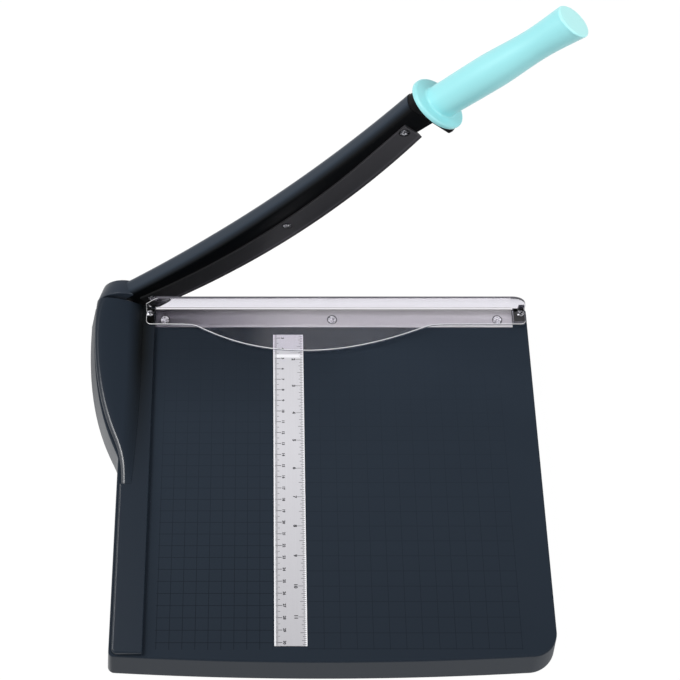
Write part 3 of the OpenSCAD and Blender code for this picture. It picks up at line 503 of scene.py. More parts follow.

# Fixed knife: a ground strip of hardened steel let into the board, with a bevel on the paper
# side. Three countersunk screws hold it down.

# Ground steel is bright and streaky. Its colour is a painted reflection, dark at the left and
# bright at the right, where a brighter part of the room would be mirrored.
knife_steel, add, shader, place = start_material("ground_knife_steel", "#b9b6bb", 0.34, Metallic=0.6)
mm, axes = in_millimetres(add, place)
share = add("MapRange", (axes[0], 7.0, 132.0))
tone = add("Mix", {0: share, 6: "#615f67", 7: "#d0ced0"}, data_type="RGBA")
# Painted shade: a dark ring round each screw stands for the shade in its countersink.
flat = add("VectorMath", (mm, (1, 1, 0)), operation="MULTIPLY")
for x, y in KNIFE_SCREWS:
    out = add("VectorMath", (flat, (x, y, 0)), operation="DISTANCE")
    share = add("MapRange", (out, 4.6, 4.1))
    tone = add("Mix", {0: share, 6: tone, 7: "#2c2b2f"}, data_type="RGBA")
knife_steel.node_tree.links.new(tone.outputs[2], shader["Base Color"])
# Grinding marks run along the strip: streaks 0.25 mm wide and 40 mm long.
streak = add("Mapping", {"Vector": place, "Scale": (25, 4000, 4000)})
marks = grained(add, shader, streak, 1.0, 0.15, 0.0001, detail=3.0)
add("MapRange", (marks, 0, 1, 0.26, 0.46), to=shader["Roughness"])

section = np.array([[-0.1, KNIFE_TOP], [-16.3, KNIFE_TOP], [-18.8, TOP_Z + 0.05], [-KNIFE_WIDTH, TOP_Z - 0.1],
                    [-KNIFE_WIDTH, KNIFE_TOP - KNIFE_THICK], [0.0, KNIFE_TOP - KNIFE_THICK],
                    [0.0, KNIFE_TOP - 0.1]])
knife = [set_at(section, 0, x) for x in (SEAT_GAP, KNIFE_LENGTH)]
sinks = [skin(lathe([[2.0, -2.25], [4.3, 0.05]], 40) + [x, y, KNIFE_TOP]) for x, y in KNIFE_SCREWS]
add_piece("fixed_knife", skin(knife), knife_steel, "base", "knife_steel", "fixed_knife", cuts=joined(*sinks))

# Screws: steel with cross recesses. Countersunk plated ones hold the knife, and small pan heads
# in black oxide hold the guard.

GUARD_SCREWS = [(-4.5, -9.5), (313.3, -9.5)]
GUARD_LOW, GUARD_THICK = 40.0, 2.0


def scuffed_steel(name, metallic, rough, wear_and_glint, dark, bright):
    """Screw steel with painted glints: noise in patches of 1.4 mm mixes its colour from dark to bright, as
    highlights would.
    """
    material, add, shader, place = start_material(name, bright, rough[0], Metallic=metallic)
    painted_glint_noise = add("TexNoise", {"Vector": place, "Scale": 700.0, "Detail": 2.0})
    share = add("MapRange", (painted_glint_noise, wear_and_glint, 0.6))
    add("Mix", {0: share, 6: dark, 7: bright}, to=shader["Base Color"], data_type="RGBA")
    add("MapRange", (painted_glint_noise, 0, 1, rough[0], rough[1]), to=shader["Roughness"])
    return material


# Plating is white and black oxide dark; both are mottled with painted glints, bright specks that
# stand for highlights.
screw_steel = scuffed_steel("plated_screw_steel", 0.5, (0.2, 0.4), 0.35, "#77777d", "#fbfbfd")
oxide_steel = scuffed_steel("black_oxide_screw_steel", 0.8, (0.3, 0.3), 0.45, "#222226", "#d6d6dc")


def screw(radius, dome, side, length, shank):
    """Head with a crossed recess over a shank, pointing down from z = 0: the height is a dome
    of (1 - r squared), less a groove that is deep near either of two crossed lines."""
    a = np.linspace(0, 2 * np.pi, 64, endpoint=False)
    r = radius * np.linspace(0.02, 1.0, 22)[:, None]
    x, y = r * np.cos(a), r * np.sin(a)
    bar = np.minimum(np.abs(x), np.abs(y)) / (0.16 * radius)
    reach = np.maximum(np.abs(x), np.abs(y)) / (0.62 * radius)
    groove = np.clip(1.6 - bar, 0, 1) * np.clip(3.0 - 3.0 * reach, 0, 1)
    top = np.stack([x, y, dome * (1 - (r / radius) ** 2) - 0.24 * radius * groove], -1)
    body = lathe([[radius, -side], [shank, -side - 0.05], [shank, -length]], 64)
    return np.concatenate([top, body])


def sunk_screw(radius, depth, length, shank):
    """The same head over a cone that narrows to the shank."""
    head = screw(radius, 0.05, 0.25, length, shank)
    head[-2, :, 2] = -depth
    return head


heads = [skin(sunk_screw(3.6, 2.2, 12.5, 2.0) + [x, y, KNIFE_TOP]) for x, y in KNIFE_SCREWS]
add_piece("knife_screws", joined(*heads), screw_steel, "base", "screw_steel", "knife_screws")
head_z = GUARD_LOW + GUARD_THICK + 1.1
heads = [skin(screw(3.0, 0.9, 1.1, 11.0, 1.5) + [x, y, head_z]) for x, y in GUARD_SCREWS]
add_piece("guard_screws", joined(*heads), oxide_steel, "base", "screw_steel", "guard_screws")

# Finger guard: clear acrylic bent to an L, held by two small screws. Its flange covers the knife
# and swings out in a wave over the ruler, its wall stands between fingers and blade, and its cut
# edges are tinted white as painted highlights and dark grey as painted shade.

GUARD_X0, GUARD_X1 = -7.5, 317.5
GUARD_BACK, GUARD_FRONT, GUARD_TOP = 2.5, 20.0, 59.0
GUARD_CORNER, GUARD_SLOPE, GUARD_SHOULDER = 4.0, 9.0, 13.0
WAVE_X, WAVE_DEPTH = 131.0, 25.7

# Acrylic is clear with a faint haze in clouds of 17 mm. An attribute gives each face its tint, and
# as alpha how much it lets through: cut edges pass little light, and are tinted white as painted
# highlights and dark grey as painted shade lines.
acrylic, add, shader, place = start_material("clear_acrylic", "#f4f2f6", 0.04, IOR=1.27)
haze = add("TexNoise", {"Vector": place, "Scale": 60.0, "Detail": 2.0})
add("MapRange", (haze, 0, 1, 0.02, 0.1), to=shader["Roughness"])
tint = add("Attribute", attribute_name="edge_tint").outputs
acrylic.node_tree.links.new(tint["Color"], shader["Base Color"])
acrylic.node_tree.links.new(tint["Alpha"], shader["Transmission Weight"])


def guard_edge(x):
    """Front edge of the flange: a hump whose fall goes by a power of the distance from its middle
    and eases into the straight edge by a hyperbola; the two ends are rounded."""
    left = x < WAVE_X
    fall = (np.abs(x - WAVE_X) / np.where(left, 97.0, 105.0)) ** np.where(left, 2.3, 1.85)
    rise = WAVE_DEPTH * (1 - fall)
    depth = GUARD_FRONT + (rise + np.sqrt(rise * rise + 6)) / 2
    gap = np.clip(GUARD_CORNER - np.minimum(x - GUARD_X0, GUARD_X1 - x), 0, GUARD_CORNER)
    return depth - GUARD_CORNER + np.sqrt(GUARD_CORNER ** 2 - gap ** 2)


def guard_height(x):
    """Top of the wall: a 45 degree slope at the left end and a quarter circle at the right."""
    gap = np.clip(GUARD_SHOULDER - (GUARD_X1 - x), 0, GUARD_SHOULDER)
    shoulder = GUARD_TOP - GUARD_SHOULDER + np.sqrt(GUARD_SHOULDER ** 2 - gap ** 2)
    return np.minimum(GUARD_TOP - GUARD_SLOPE + (x - GUARD_X0), shoulder)


def guard_ring(x):
    """L section at x: flange with a rounded front edge, fillet, wall with a rounded top."""
    front, top = -guard_edge(x), guard_height(x)
    y0, y1 = -GUARD_BACK, -GUARD_BACK - GUARD_THICK
    low, high, r = GUARD_LOW, GUARD_LOW + GUARD_THICK, 0.5
    return set_at(np.concatenate([
        arc([y0 - r, low + r], r, 0, -90, 3),
        arc([front + r, low + r], r, 270, 180, 3),
        arc([front + r, high - r], r, 180, 90, 3),
        arc([y1 - 3, high + 3], 3, 270, 360, 6),
        arc([y1 + r, top - r], r, 180, 90, 3),
        arc([y0 - r, top - r], r, 90, 0, 3)]), 0, x)


ease = (1 - np.cos(np.linspace(0, np.pi / 2, 16))) * GUARD_SHOULDER
middle = np.linspace(GUARD_X0 + 14, GUARD_X1 - 14, 140)
xs = np.concatenate([GUARD_X0 + ease, middle, (GUARD_X1 - ease)[::-1]])
guard = add_piece("finger_guard", skin([guard_ring(x) for x in xs]), acrylic, "base", "guard_clear",
                  "finger_guard")
# Faces are told apart by their station along the guard and their step round the section: 4 to
# 10 are the flange's front edge, 11 its top, 18 and 26 the wall's sides and 19 to 25 its top edge.
around = len(guard_ring(GUARD_X0))
step = np.arange(len(guard.data.polygons)) % around
station = xs[np.minimum(np.arange(len(step)) // around, len(xs) - 1)]
sloped = station <= GUARD_X0 + GUARD_SLOPE
flange_top, wall_sides = step == 11, (step == 18) | (step == 26)
white = (0.95, 0.95, 0.97)
tints = np.tile(linear("#f4f2f6"), (len(step), 1))
tints[flange_top] = (*linear("#f3f1f6")[:3], 0.95)
tints[flange_top, 3] += 0.05 * np.clip((97.0 - station[flange_top]) / 19.0, 0, 1)
# Painted light and shade on the edges: the flange's front edge is dark grey below, a painted shade line, and
# white on its upper rounding, a painted highlight; the wall's top edge is dark grey and its left slope white,
# and the ends are white. The wall's sides get a slightly darker tint.
tints[wall_sides] = linear("#e9e7ef")
tints[(step >= 4) & (step <= 8)] = (*linear("#6a6f7a")[:3], 0.7)
tints[(step >= 9) & (step <= 10)] = (*white, 0.1)
tints[(step >= 21) & (step <= 25) & ~sloped] = (*linear("#6f6d75")[:3], 0.2)
tints[(step >= 19) & (step <= 20) & sloped] = (*white, 0.2)
tints[(step >= 11) & (step <= 18) & (station < GUARD_X0 + 0.2)] = (*white, 0.15)
tints[-2:] = (*white, 0.3)
mark = guard.data.attributes.new("edge_tint", "FLOAT_COLOR", "FACE")
mark.data.foreach_set("color", tints.ravel())

# Guard pad: a black moulded block that carries the guard's right end, with a small upright tab
# behind the clear wall. The guard's screw holds both down.

PAD = (307.3, 317.3, -17.0, -2.4)
TAB = (312.3, 317.3, -2.4, -0.8)
TAB_HIGH = RAIL_HIGH + 3.5

# The pad is coarsely textured; its pips are painted as light and dark specks drawn at 1 mm, painted
# highlights where light would catch them.
pad_abs, add, shader, place = start_material("coarse_black_abs", "#3a3a42", 0.5, IOR=1.5)
pips = add("TexNoise", {"Vector": place, "Scale": 1000.0, "Detail": 1.0})
add("Mix", {0: pips, 6: "#1a1a1f", 7: "#85858f"}, to=shader["Base Color"], data_type="RGBA")


def rectangle(x0, x1, y0, y1):
    """Corners of an upright rectangle, in turn."""
    return np.array([[x0, y0], [x1, y0], [x1, y1], [x0, y1]])


block = skin(slab(rectangle(*PAD), TOP_Z, TOP_Z + RAIL_HIGH, 0.5))
tab = skin(slab(rectangle(*TAB), TOP_Z, TOP_Z + TAB_HIGH, 0.4))
add_piece("guard_pad", joined(block, tab), pad_abs, "base", "black_plastic", "guard_pad")

# Ruler strip: matt anodised aluminium with bright cut edges, stuck into a shallow seat. Black
# printed scales run down it, centimetres on the left edge and inches on the right.

RULER_TOP = TOP_Z + RULER_THICK / 2
BARE_EDGE = 1.4
BAR_Y = -47.5
INK_THICK, INK_SUNK = 0.03, 0.02

# Anodised aluminium is pale and matt with fine streaks, a third of a millimetre wide.
ruler_aluminium, add, shader, place = start_material("matt_anodised_aluminium", "#d0cfd4", 0.5, Metallic=0.1)
mm, axes = in_millimetres(add, place)
streak = add("Mapping", {"Vector": place, "Scale": (3000, 20, 3000)})
lines = add("TexNoise", {"Vector": streak, "Scale": 1.0, "Detail": 2.0})
tone = add("Mix", {0: lines, 6: "#c5c4c9", 7: "#d1d0d5"}, data_type="RGBA")
# The strip is darker towards the user. A bright bar across it is painted light, standing for the
# light that the guard's edge throws on it.
darker_to_user = add("MapRange", (axes[1], -300.0, -130.0, 0.83, 1.1))
tone = add("VectorMath", {0: tone, "Scale": darker_to_user}, operation="SCALE")
away = add("Math", (axes[1], BAR_Y), operation="SUBTRACT")
off = add("Math", (away,), operation="ABSOLUTE")
share = add("MapRange", (off, 2.4, 0.8))
tone = add("Mix", {0: share, 6: tone, 7: "#f6f6fa"}, data_type="RGBA")
# Both long edges are bare and shine white.
middle, half = (RULER[0] + RULER[1]) / 2, (RULER[1] - RULER[0]) / 2
share = add("Math", (axes[0], middle, half - BARE_EDGE), operation="COMPARE")
add("Mix", {0: share, 6: "#f2f2f6", 7: tone}, to=shader["Base Color"], data_type="RGBA")
strip = skin(slab(rectangle(*RULER), TOP_Z - RULER_THICK / 2, RULER_TOP, 0.15))
add_piece("ruler_strip", strip, ruler_aluminium, "base", "ruler_aluminium", "ruler_strip")

# Screen printed ink is dull black, thinner in worn specks of 1.4 mm.
scale_ink, add, shader, place = start_material("black_scale_ink", "#1d1d22", 0.55, IOR=1.5)
wear = add("TexNoise", {"Vector": place, "Scale": 700.0})
add("Mix", {0: wear, 6: "#141418", 7: "#2c2c33"}, to=shader["Base Color"], data_type="RGBA")
CM_EDGE, INCH_EDGE = RULER[0] + 1.0, RULER[1] - 0.6
INCH = 25.4


def ticks(x0, x1, v, half_width):
    """Boxes of ink across the ruler from x0 to x1, at distances v from the cutting line."""
    low, high = RULER_TOP - INK_SUNK, RULER_TOP + INK_THICK
    return np.column_stack(np.broadcast_arrays(x0, -v - half_width, low, x1, -v + half_width, high))


v = np.arange(27, 303)
reach = np.select([v % 10 == 0, v % 5 == 0], [5.2, 3.6], 2.0)
cm = ticks(CM_EDGE, CM_EDGE + reach, v, np.where(v % 10 == 0, 0.22, 0.15))
k = np.arange(18, 191)
reach = np.select([k % 16 == 0, k % 8 == 0, k % 4 == 0, k % 2 == 0], [6.0, 4.6, 3.6, 2.8], 2.0)
inch = ticks(INCH_EDGE - reach, INCH_EDGE, INCH * k / 16, 0.16)
add_piece("ruler_ticks", boxes(np.concatenate([cm, inch])), scale_ink, "base", "ruler_aluminium")


def figure(text, x, y, size):
    """Points and faces of a printed number that runs down the ruler from a middle point."""
    curve = bpy.data.curves.new("figure", "FONT")
    curve.body, curve.size, curve.align_x, curve.align_y = text, size, "CENTER", "CENTER"
    curve.extrude = INK_THICK / 2
    curve.offset = 0.045 * size
    curve.resolution_u = 3
    holder = bpy.data.objects.new("figure", curve)
    mesh = bpy.data.meshes.new_from_object(holder)
    bpy.data.objects.remove(holder)
    work = bmesh.new()
    work.from_mesh(mesh)
    bmesh.ops.remove_doubles(work, verts=work.verts, dist=1e-4)
    work.to_mesh(mesh)
    work.free()
    p = np.empty(3 * len(mesh.vertices))
    mesh.vertices.foreach_get("co", p)
    p = p.reshape(-1, 3)
    faces = [list(face.vertices) for face in mesh.polygons]
    return np.column_stack([x + p[:, 1], y - p[:, 0], RULER_TOP + p[:, 2] + INK_THICK / 2]), faces


figures = [figure(str(n), CM_EDGE + 6.9, -10.0 * n, 3.0) for n in range(3, 31)]
figures += [figure(str(n), INCH_EDGE - 8.0, -INCH * n, 3.8) for n in range(2, 12)]
add_piece("ruler_figures", joined(*figures), scale_ink, "base", "ruler_aluminium")

# Cutting arm: a cast alloy bar with satin navy-black paint, turning on the pivot bolt. It curves
# up from a round knuckle to a plain block that takes the grip, and its back tapers towards it.

ARM_RAISE = math.radians(47.0)
ARM_FRONT, ARM_BACK = 2.2, 19.6
ARM_END = 355.5
ARM_TOP, ARM_TOP_X, ARM_TOP_R = 5.6, 131.0, 1314.0
BLOCK_X, BLOCK_LOW = 338.8, -1.8
BLADE_CENTRE = np.array([150.0, 770.8])
BLADE_R = 800.0


def on_arm(points):
    """Turns places on the closed arm, with the pivot at the origin, to the raised arm."""
    p = np.asarray(points, float)
    c, s = math.cos(ARM_RAISE), math.sin(ARM_RAISE)
    return np.stack([PIVOT[0] + c * p[..., 0] - s * p[..., 2], p[..., 1],
                     PIVOT[1] + s * p[..., 0] + c * p[..., 2]], -1)


def on_circle(radius, x):
    """Height at x of the lower side of a circle round the centre of the blade's edge."""
    return BLADE_CENTRE[1] - np.sqrt(radius ** 2 - (x - BLADE_CENTRE[0]) ** 2)


# Satin paint has a soft, slightly uneven highlight: its orange peel is about 3 mm across.
arm_paint, add, shader, place = start_material("satin_navy_paint", "#2a323d", 0.36, Specular_IOR_Level=0.3)
peel = grained(add, shader, place, 350.0, 0.06, 0.0004)
add("MapRange", (peel, 0, 1, 0.3, 0.42), to=shader["Roughness"])
# The bar's front is matt black where the blade lies on it; the navy starts on the rounded edge.
bar_paint, add, shader, place = start_material(
    "navy_and_black_paint", "#2f3843", 0.36, Specular_IOR_Level=0.12)
grained(add, shader, place, 350.0, 0.06, 0.0004)
mm, axes = in_millimetres(add, place)
share = add("MapRange", (axes[1], ARM_FRONT + 0.4, ARM_FRONT + 3.8))
add("Mix", {0: share, 6: "#040507", 7: "#2f3843"}, to=shader["Base Color"], data_type="RGBA")


def arm_ring(x):
    """Section of the bar at x: its upper edge and foot lie on two circles, its back tapers, and
    the four corners are rounded. Near the outer end the foot drops to the block for the grip."""
    block = np.clip((x - BLOCK_X) / 0.4, 0, 1)
    top = ARM_TOP + ARM_TOP_R - math.sqrt(ARM_TOP_R ** 2 - (x - ARM_TOP_X) ** 2)
    low = on_circle(BLADE_R - 5.2, x)
    low = low + (BLOCK_LOW - low) * block
    back = ARM_BACK - 1.8 * np.clip((x - 120) / (ARM_END - 120), 0, 1)
    return set_at(np.concatenate([
        arc([ARM_FRONT + 0.8, low + 0.8], 0.8, 180, 270, 3),
        arc([back - 1.5, low + 1.5], 1.5, 270, 360, 4),
        arc([back - 7, top - 7], 7, 0, 90, 12),
        arc([ARM_FRONT + 5.5, top - 5.5], 5.5, 90, 180, 12)]), 0, x)


xs = np.concatenate([np.linspace(12, BLOCK_X - 0.2, 92), np.linspace(BLOCK_X, BLOCK_X + 0.4, 4),
                     [347, ARM_END - 0.05]])
bar = np.array([arm_ring(x) for x in xs])
knuckle = np.concatenate([[[8.0, ARM_FRONT + 0.2]], arc([22.0, ARM_FRONT + 1.2], 1.0, 270, 360, 5),
                          arc([17.0, ARM_BACK - 1.7], 1.2, 15, 90, 6), [[8.0, ARM_BACK - 0.5]]])
hub = lathe(knuckle, 72)[..., [0, 2, 1]]
add_piece("arm", skin(on_arm(bar)), bar_paint, "cutting_arm", "arm_paint", "arm")
add_piece("arm_knuckle", skin(on_arm(hub)), arm_paint, "cutting_arm", "arm_paint")

# Moving blade: a curved strip of dark coated steel on the arm's front face, hollow bevelled at
# the back of its edge. Its upper edge runs straight up to the square outer end, and three
# countersunk screws in black oxide hold it.

BLADE_X0, BLADE_X1 = 20.0, 341.0
BLADE_WIDTH, BLADE_THICK, BEVEL = 19.2, 2.2, 3.5
BLADE_Y = 0.2
HOLES_R = 786.3
blade_holes = [(x, on_circle(HOLES_R, x)) for x in (31.0, 190.0, 335.5)]

# Coated steel is dark with a dull metal shine and fine lines along it, a third of a millimetre
# wide. The coating is darker towards the hinge.
blade_steel, add, shader, place = start_material("dark_coated_steel", "#3b3a3f", 0.42, Metallic=0.45)
mm, axes = in_millimetres(add, place)
turned = add("Mapping", {"Vector": place, "Rotation": (0, ARM_RAISE, 0), "Scale": (30, 3000, 3000)})
lines = add("TexNoise", {"Vector": turned, "Scale": 1.0, "Detail": 3.0})
add("MapRange", (lines, 0, 1, 0.36, 0.5), to=shader["Roughness"])
uphill = np.array([math.cos(ARM_RAISE), 0, math.sin(ARM_RAISE)])
run = add("VectorMath", (mm, uphill), operation="DOT_PRODUCT")
start = PIVOT @ uphill[[0, 2]]
share = add("MapRange", (run, start + 30, start + 330))
tone = add("Mix", {0: share, 6: "#1f1f21", 7: "#464549"}, data_type="RGBA")
# Honing leaves a lighter line just above the edge: a band of the distance from the edge's centre.
flat = add("VectorMath", (mm, (1, 0, 1)), operation="MULTIPLY")
middle = on_arm((BLADE_CENTRE[0], 0, BLADE_CENTRE[1]))
out = add("VectorMath", (flat, middle), operation="DISTANCE")
away = add("Math", (out, BLADE_R - 2.8), operation="SUBTRACT")
off = add("Math", (away,), operation="ABSOLUTE")
share = add("MapRange", (off, 0.3, 1.1, 0.7, 0.0))
tone = add("Mix", {0: share, 6: tone, 7: "#5c5b60"}, data_type="RGBA")
# Painted shade: a dark ring round each screw stands for the shade in its countersink.
for x, z in blade_holes:
    out = add("VectorMath", (flat, on_arm((x, 0, z))), operation="DISTANCE")
    share = add("MapRange", (out, 4.5, 3.9))
    tone = add("Mix", {0: share, 6: tone, 7: "#08080a"}, data_type="RGBA")
blade_steel.node_tree.links.new(tone.outputs[2], shader["Base Color"])


def blade_outline(edge):
    """Outline of the blade: its edge on one circle, its upper side on a smaller one and then on
    a straight run, with a rounded outer corner."""
    low = np.linspace(BLADE_X0, BLADE_X1, 120)
    high = np.linspace(281.0, BLADE_X0 + 3.2, 100)
    inner = BLADE_R - BLADE_WIDTH
    corner = arc([BLADE_X1 - 0.8, on_circle(inner, BLADE_X1) - 2.4], 0.8, 0, 100, 5)
    return np.concatenate([np.column_stack([low, on_circle(edge, low)]), corner,
                           np.column_stack([high, on_circle(inner, high)])])


# Each layer from front to back has the radius of its edge, how far it shrinks and its depth.
layers = [(BLADE_R, 0.35, BLADE_Y), (BLADE_R, 0.12, BLADE_Y + 0.02), (BLADE_R, 0.0, BLADE_Y + 0.12),
          (BLADE_R, 0.0, BLADE_Y + 0.4), (BLADE_R - BEVEL + 0.1, 0.0, BLADE_THICK - 0.1),
          (BLADE_R - BEVEL, 0.15, BLADE_THICK), (BLADE_R - BEVEL, 0.35, BLADE_THICK)]
blade = np.array([set_at(inset(blade_outline(edge), shrink), 1, y) for edge, shrink, y in layers])
sink = lathe([[3.7, -0.05], [1.98, 2.25]], 40)[..., [0, 2, 1]]
sinks = [skin(on_arm(sink + [x, BLADE_Y, z])) for x, z in blade_holes]
add_piece("moving_blade", skin(on_arm(blade)), blade_steel, "cutting_arm", "blade_steel", "moving_blade",
          cuts=joined(*sinks))
head = sunk_screw(3.2, 1.9, 8.4, 1.95)[..., [0, 2, 1]] * [1, -1, 1]
heads = [skin(on_arm(head + [x, BLADE_Y + 0.08, z])) for x, z in blade_holes]
add_piece("blade_screws", joined(*heads), oxide_steel, "cutting_arm", "screw_steel", "blade_screws")

# Hand stop: a black moulded block, clamped between arm and grip. It hangs below the arm, where it
# keeps fingers off the blade, and its outer side is cut to the tilt of the grip's flange.

GRIP_Y, GRIP_Z = 9.5, 5.4
FLANGE_X = ARM_END + 9.2
TILT = math.radians(8.0)
STOP_BACK = ARM_FRONT + 15.4
STOP_LOW, STOP_OUTER_LOW, STOP_TOP = -20.7, -16.0, 24.5
STOP_ROUND, STOP_BEVEL = 3.0, 0.2

# Black ABS is nearly lightless, with a fine matt grain drawn at 0.7 mm.
black_abs, add, shader, place = start_material("black_abs", "#0c0c0e", 0.45, Specular_IOR_Level=0.12)
grained(add, shader, place, 1400.0, 0.25, 0.0002)

flange_out = np.array([math.cos(TILT) ** 2, math.sin(TILT), math.cos(TILT) * math.sin(TILT)])
stop = np.concatenate([
    arc([ARM_FRONT + 2.2, STOP_LOW + 2.2], 2.2, 180, 270, 6),
    arc([0, 0], 1, 270, 360, 12) * [11.5, 16.0] + [STOP_BACK - 11.5, STOP_LOW + 16.0],
    arc([STOP_BACK - 7, STOP_TOP - 7], 7, 0, 90, 10),
    arc([ARM_FRONT + 5.5, STOP_TOP - 5.5], 5.5, 90, 180, 10)])
outer = np.column_stack([stop[:, 0], np.maximum(stop[:, 1], STOP_OUTER_LOW)])
reach = FLANGE_X - ((outer - [GRIP_Y, GRIP_Z]) @ flange_out[1:]) / flange_out[0]


def stop_ring(along):
    """Section of the block, beyond the arm by some length: a round lifts its low inner edge."""
    lift = STOP_ROUND - math.sqrt(STOP_ROUND ** 2 - max(0.0, STOP_ROUND - along) ** 2)
    path = inset(stop, STOP_BEVEL * (1 - min(along / STOP_BEVEL, 1)))
    path[:, 1] = np.maximum(path[:, 1], STOP_LOW + lift)
    return set_at(path, 0, ARM_END + along)


plate = [stop_ring(along) for along in (0, 0.06, 0.2, 0.6, 1.2, 2.0, 3.0)] + [set_at(outer, 0, reach - 0.05)]
add_piece("hand_stop", skin(on_arm(plate)), black_abs, "cutting_arm", "black_plastic", "hand_stop")

# Grip: an aqua plastic moulding with a round flange, a gentle swell and waist and a flared end.
# It is pressed over a steel tang, and tilts up and back from the arm.

GRIP_LENGTH, FLANGE_R, FLANGE_THICK = 119.2, 22.0, 4.5
GRIP_EDGE = 1.6

# Satin plastic has a soft broad highlight, a grain of 0.8 mm and faint clouds of 55 mm.
grip_plastic, add, shader, place = start_material("satin_aqua_plastic", "#9aebef", 0.34, IOR=1.5)
mm, axes = in_millimetres(add, place)
grained(add, shader, place, 1200.0, 0.08, 0.0002)
cloud = add("TexNoise", {"Vector": place, "Scale": 18.0})
tone = add("Mix", {0: cloud, 6: "#98e0e5", 7: "#a0e7eb"}, data_type="RGBA")
# The flat end is painted paler, a painted highlight for the light that falls on it from above: it
# lies past a plane across the handle.
flange_y = np.array([-math.sin(TILT) * math.cos(TILT), math.cos(TILT), -math.sin(TILT) ** 2])
flange_z = np.array([-math.sin(TILT), 0.0, math.cos(TILT)])
tip = on_arm((FLANGE_X + FLANGE_THICK + GRIP_LENGTH, GRIP_Y, GRIP_Z))
outward = on_arm(flange_out) - on_arm((0, 0, 0))
beyond = add("VectorMath", (mm, outward), operation="DOT_PRODUCT")
level = tip @ outward
share = add("MapRange", (beyond, level - 1.5, level - 0.2))
add("Mix", {0: share, 6: tone, 7: "#c0ffff"}, to=shader["Base Color"], data_type="RGBA")


def grip_radius(s):
    """Half cosine waves between the radii beside the flange, at the swell, waist and flare."""
    u = s / GRIP_LENGTH
    knots, radii = np.array([0.0, 0.38, 0.73, 1.08]), np.array([13.0, 13.4, 11.7, 13.8])
    k = np.clip(np.searchsorted(knots, u, side="right") - 1, 0, 2)
    t = (u - knots[k]) / (knots[k + 1] - knots[k])
    return radii[k] + (radii[k + 1] - radii[k]) * (1 - np.cos(np.pi * t)) / 2


s = np.linspace(2.0, GRIP_LENGTH - GRIP_EDGE, 64)
end_r = grip_radius(np.array([GRIP_LENGTH]))[0]
end = FLANGE_THICK + GRIP_LENGTH
handle = np.concatenate([
    [[6.0, 0.0]],
    arc([FLANGE_R - GRIP_EDGE, GRIP_EDGE], GRIP_EDGE, 270, 360, 7),
    arc([FLANGE_R - GRIP_EDGE, FLANGE_THICK - GRIP_EDGE], GRIP_EDGE, 0, 90, 7),
    arc([13.0 + GRIP_EDGE, FLANGE_THICK + GRIP_EDGE], GRIP_EDGE, 270, 190, 6),
    np.column_stack([grip_radius(s), FLANGE_THICK + s]),
    arc([end_r - GRIP_EDGE, end - GRIP_EDGE], GRIP_EDGE, 8, 90, 7),
    [[4.0, end]]])
a = np.linspace(0, 2 * np.pi, 96, endpoint=False)[:, None]
around = np.cos(a) * flange_y + np.sin(a) * flange_z
slanted = handle[:, :1, None] * around + handle[:, 1:, None] * [1.0, 0.0, 0.0] + [FLANGE_X, GRIP_Y, GRIP_Z]
add_piece("grip", skin(on_arm(slanted)), grip_plastic, "cutting_arm", "grip_aqua", "grip")

# Pivot: a domed steel bolt through the arm, with washers, a spring, cup and nut in the well. A
# bracket carries it, and a brass bush lines the arm. All but the bolt are shown as the solids.

HEAD_Y = ARM_BACK + 1.8
BOLT_R, BOLT_END = 5.0, -51.5


def turned_metal(name, colour, low, high):
    """Turned metal: tool marks of about 1.1 mm make its shine uneven between two roughnesses."""
    material, add, shader, place = start_material(name, colour, low, Metallic=1.0)
    marks = add("TexNoise", {"Vector": place, "Scale": 900.0, "Detail": 2.0})
    add("MapRange", (marks, 0, 1, low, high), to=shader["Roughness"])
    return material


# Steel gives a cool grey shine, brass a warm one.
pivot_steel = turned_metal("turned_pivot_steel", "#a4a4a8", 0.24, 0.42)
bush_brass = turned_metal("turned_brass", "#b48a4e", 0.28, 0.45)
bolt = np.concatenate([
    [[BOLT_R - 0.6, BOLT_END], [BOLT_R, BOLT_END + 0.6], [BOLT_R, HEAD_Y], [9.2, HEAD_Y]],
    arc([6.5, HEAD_Y + 0.1], 3.0, 5, 60, 6),
    [[5.5, HEAD_Y + 3.1], [2.5, HEAD_Y + 3.4]]])
stud = lathe(bolt, 64)[..., [0, 2, 1]] + [PIVOT[0], 0, PIVOT[1]]
add_piece("pivot_bolt", skin(stud), pivot_steel, "base", "pivot_steel", "pivot_bolt")
inner = {
    pivot_steel: ("hinge_bracket", "thrust_washer", "spring_washer", "pivot_spring", "spring_cup", "lock_nut",
                  "handle_tang"),
    bush_brass: ("pivot_bush",),
    screw_steel: ("rail_screws", "cover_screws", "bracket_screws")}
for material, nodes in inner.items():
    for node in nodes:
        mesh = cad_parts[node].data
        mesh.materials.clear()
        mesh.materials.append(material)

# Studio: a white paper floor and a white surround, three soft lamps, and the camera at the
# photograph's angle. Floor and surround are seen as plain white; the light they give is dimmer.

FLOOR_HALF = 6.0
bpy.context.scene.view_settings.view_transform = "Standard"
floor_paper = bpy.data.materials.new("white_floor_paper")
add = empty_tree(floor_paper)
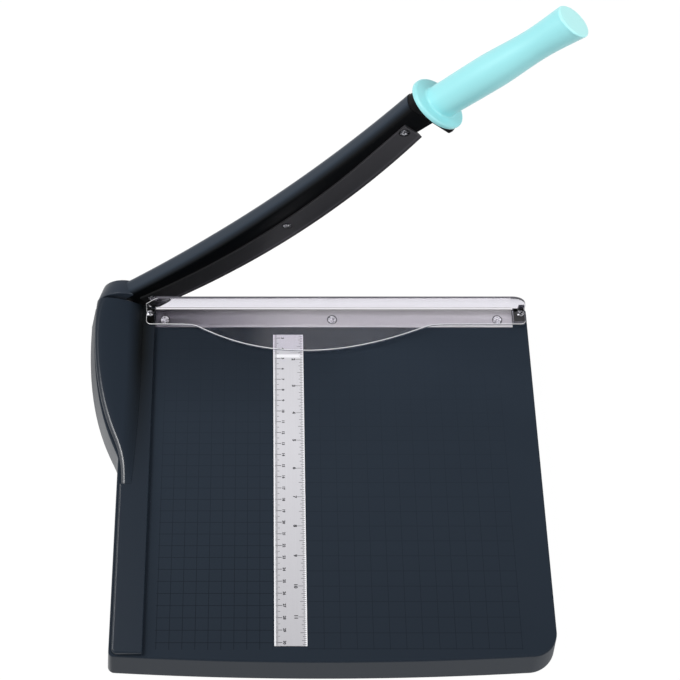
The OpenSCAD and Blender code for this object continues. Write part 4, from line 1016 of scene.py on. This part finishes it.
# A little of the plain paper is left in what is seen, so that the object's shadow shows on it.
rays = add("LightPath").outputs
seen = add("Math", (rays["Is Camera Ray"], rays["Is Glossy Ray"]), operation="MAXIMUM")
seen = add("Math", (seen, rays["Is Transmission Ray"]), operation="MAXIMUM")
share = add("Math", (seen, 0.93), operation="MULTIPLY")
paper = add("BsdfDiffuse", {"Color": (0.62, 0.62, 0.62, 1)})
glow = add("Emission", {"Color": (1, 1, 1, 1), "Strength": 1.05})
both = add("MixShader", (share, paper, glow))
add("OutputMaterial", {"Surface": both})
mesh = bpy.data.meshes.new("floor")
corners = set_at(FLOOR_HALF * rectangle(-1, 1, -1, 1), 2, 0)
mesh.from_pydata(corners.tolist(), [], [(0, 1, 2, 3)])
mesh.materials.append(floor_paper)
floor = add_object("floor", mesh)

world = bpy.data.worlds.new("studio")
bpy.context.scene.world = world
add = empty_tree(world)
rays = add("LightPath").outputs
seen = add("Math", (rays["Is Camera Ray"], rays["Is Transmission Ray"]), operation="MAXIMUM")
up = add("SeparateXYZ", (add("TexCoord").outputs["Generated"],)).outputs[2]
dim = add("MapRange", (up, 0.35, 0.75, 0.65, 0.25))
level = add("Mix", {0: seen, 2: dim, 3: 1.0})
sky = add("Background", {"Color": (1, 1, 1, 1), "Strength": level})
add("OutputWorld", {"Surface": sky})


def lamp(name, place, aim, size, power):
    """Square soft lamp that faces a point."""
    light = bpy.data.lights.new(name, "AREA")
    light.size, light.energy = size, power
    holder = add_object(name, light)
    holder.location = place
    back = np.array(place) - np.array(aim)
    lean = math.atan2(math.hypot(back[0], back[1]), back[2])
    holder.rotation_euler = (lean, 0, math.atan2(back[0], -back[1]))


lamp("key_lamp", (-0.9, 0.25, 1.5), (0, 0, 0.15), 0.7, 15)
lamp("fill_lamp", (1.1, -0.7, 1.5), (0, 0, 0.1), 1.2, 15)
lamp("left_lamp", (-1.4, 0.05, 1.0), (0.1, 0.1, 0.3), 0.6, 2.5)

CAMERA_AT = (92.5, -691.7, 1194.0)
CAMERA_DOWN = math.radians(60.34)
camera = bpy.data.cameras.new("photo_camera")
camera.lens, camera.sensor_width = 82.55, 36.0
camera.shift_x = 0.1132
holder = add_object("photo_camera", camera)
holder.location = to_frame(CAMERA_AT)
holder.rotation_euler = (math.pi / 2 - CAMERA_DOWN, 0, 0)
bpy.context.scene.camera = holder
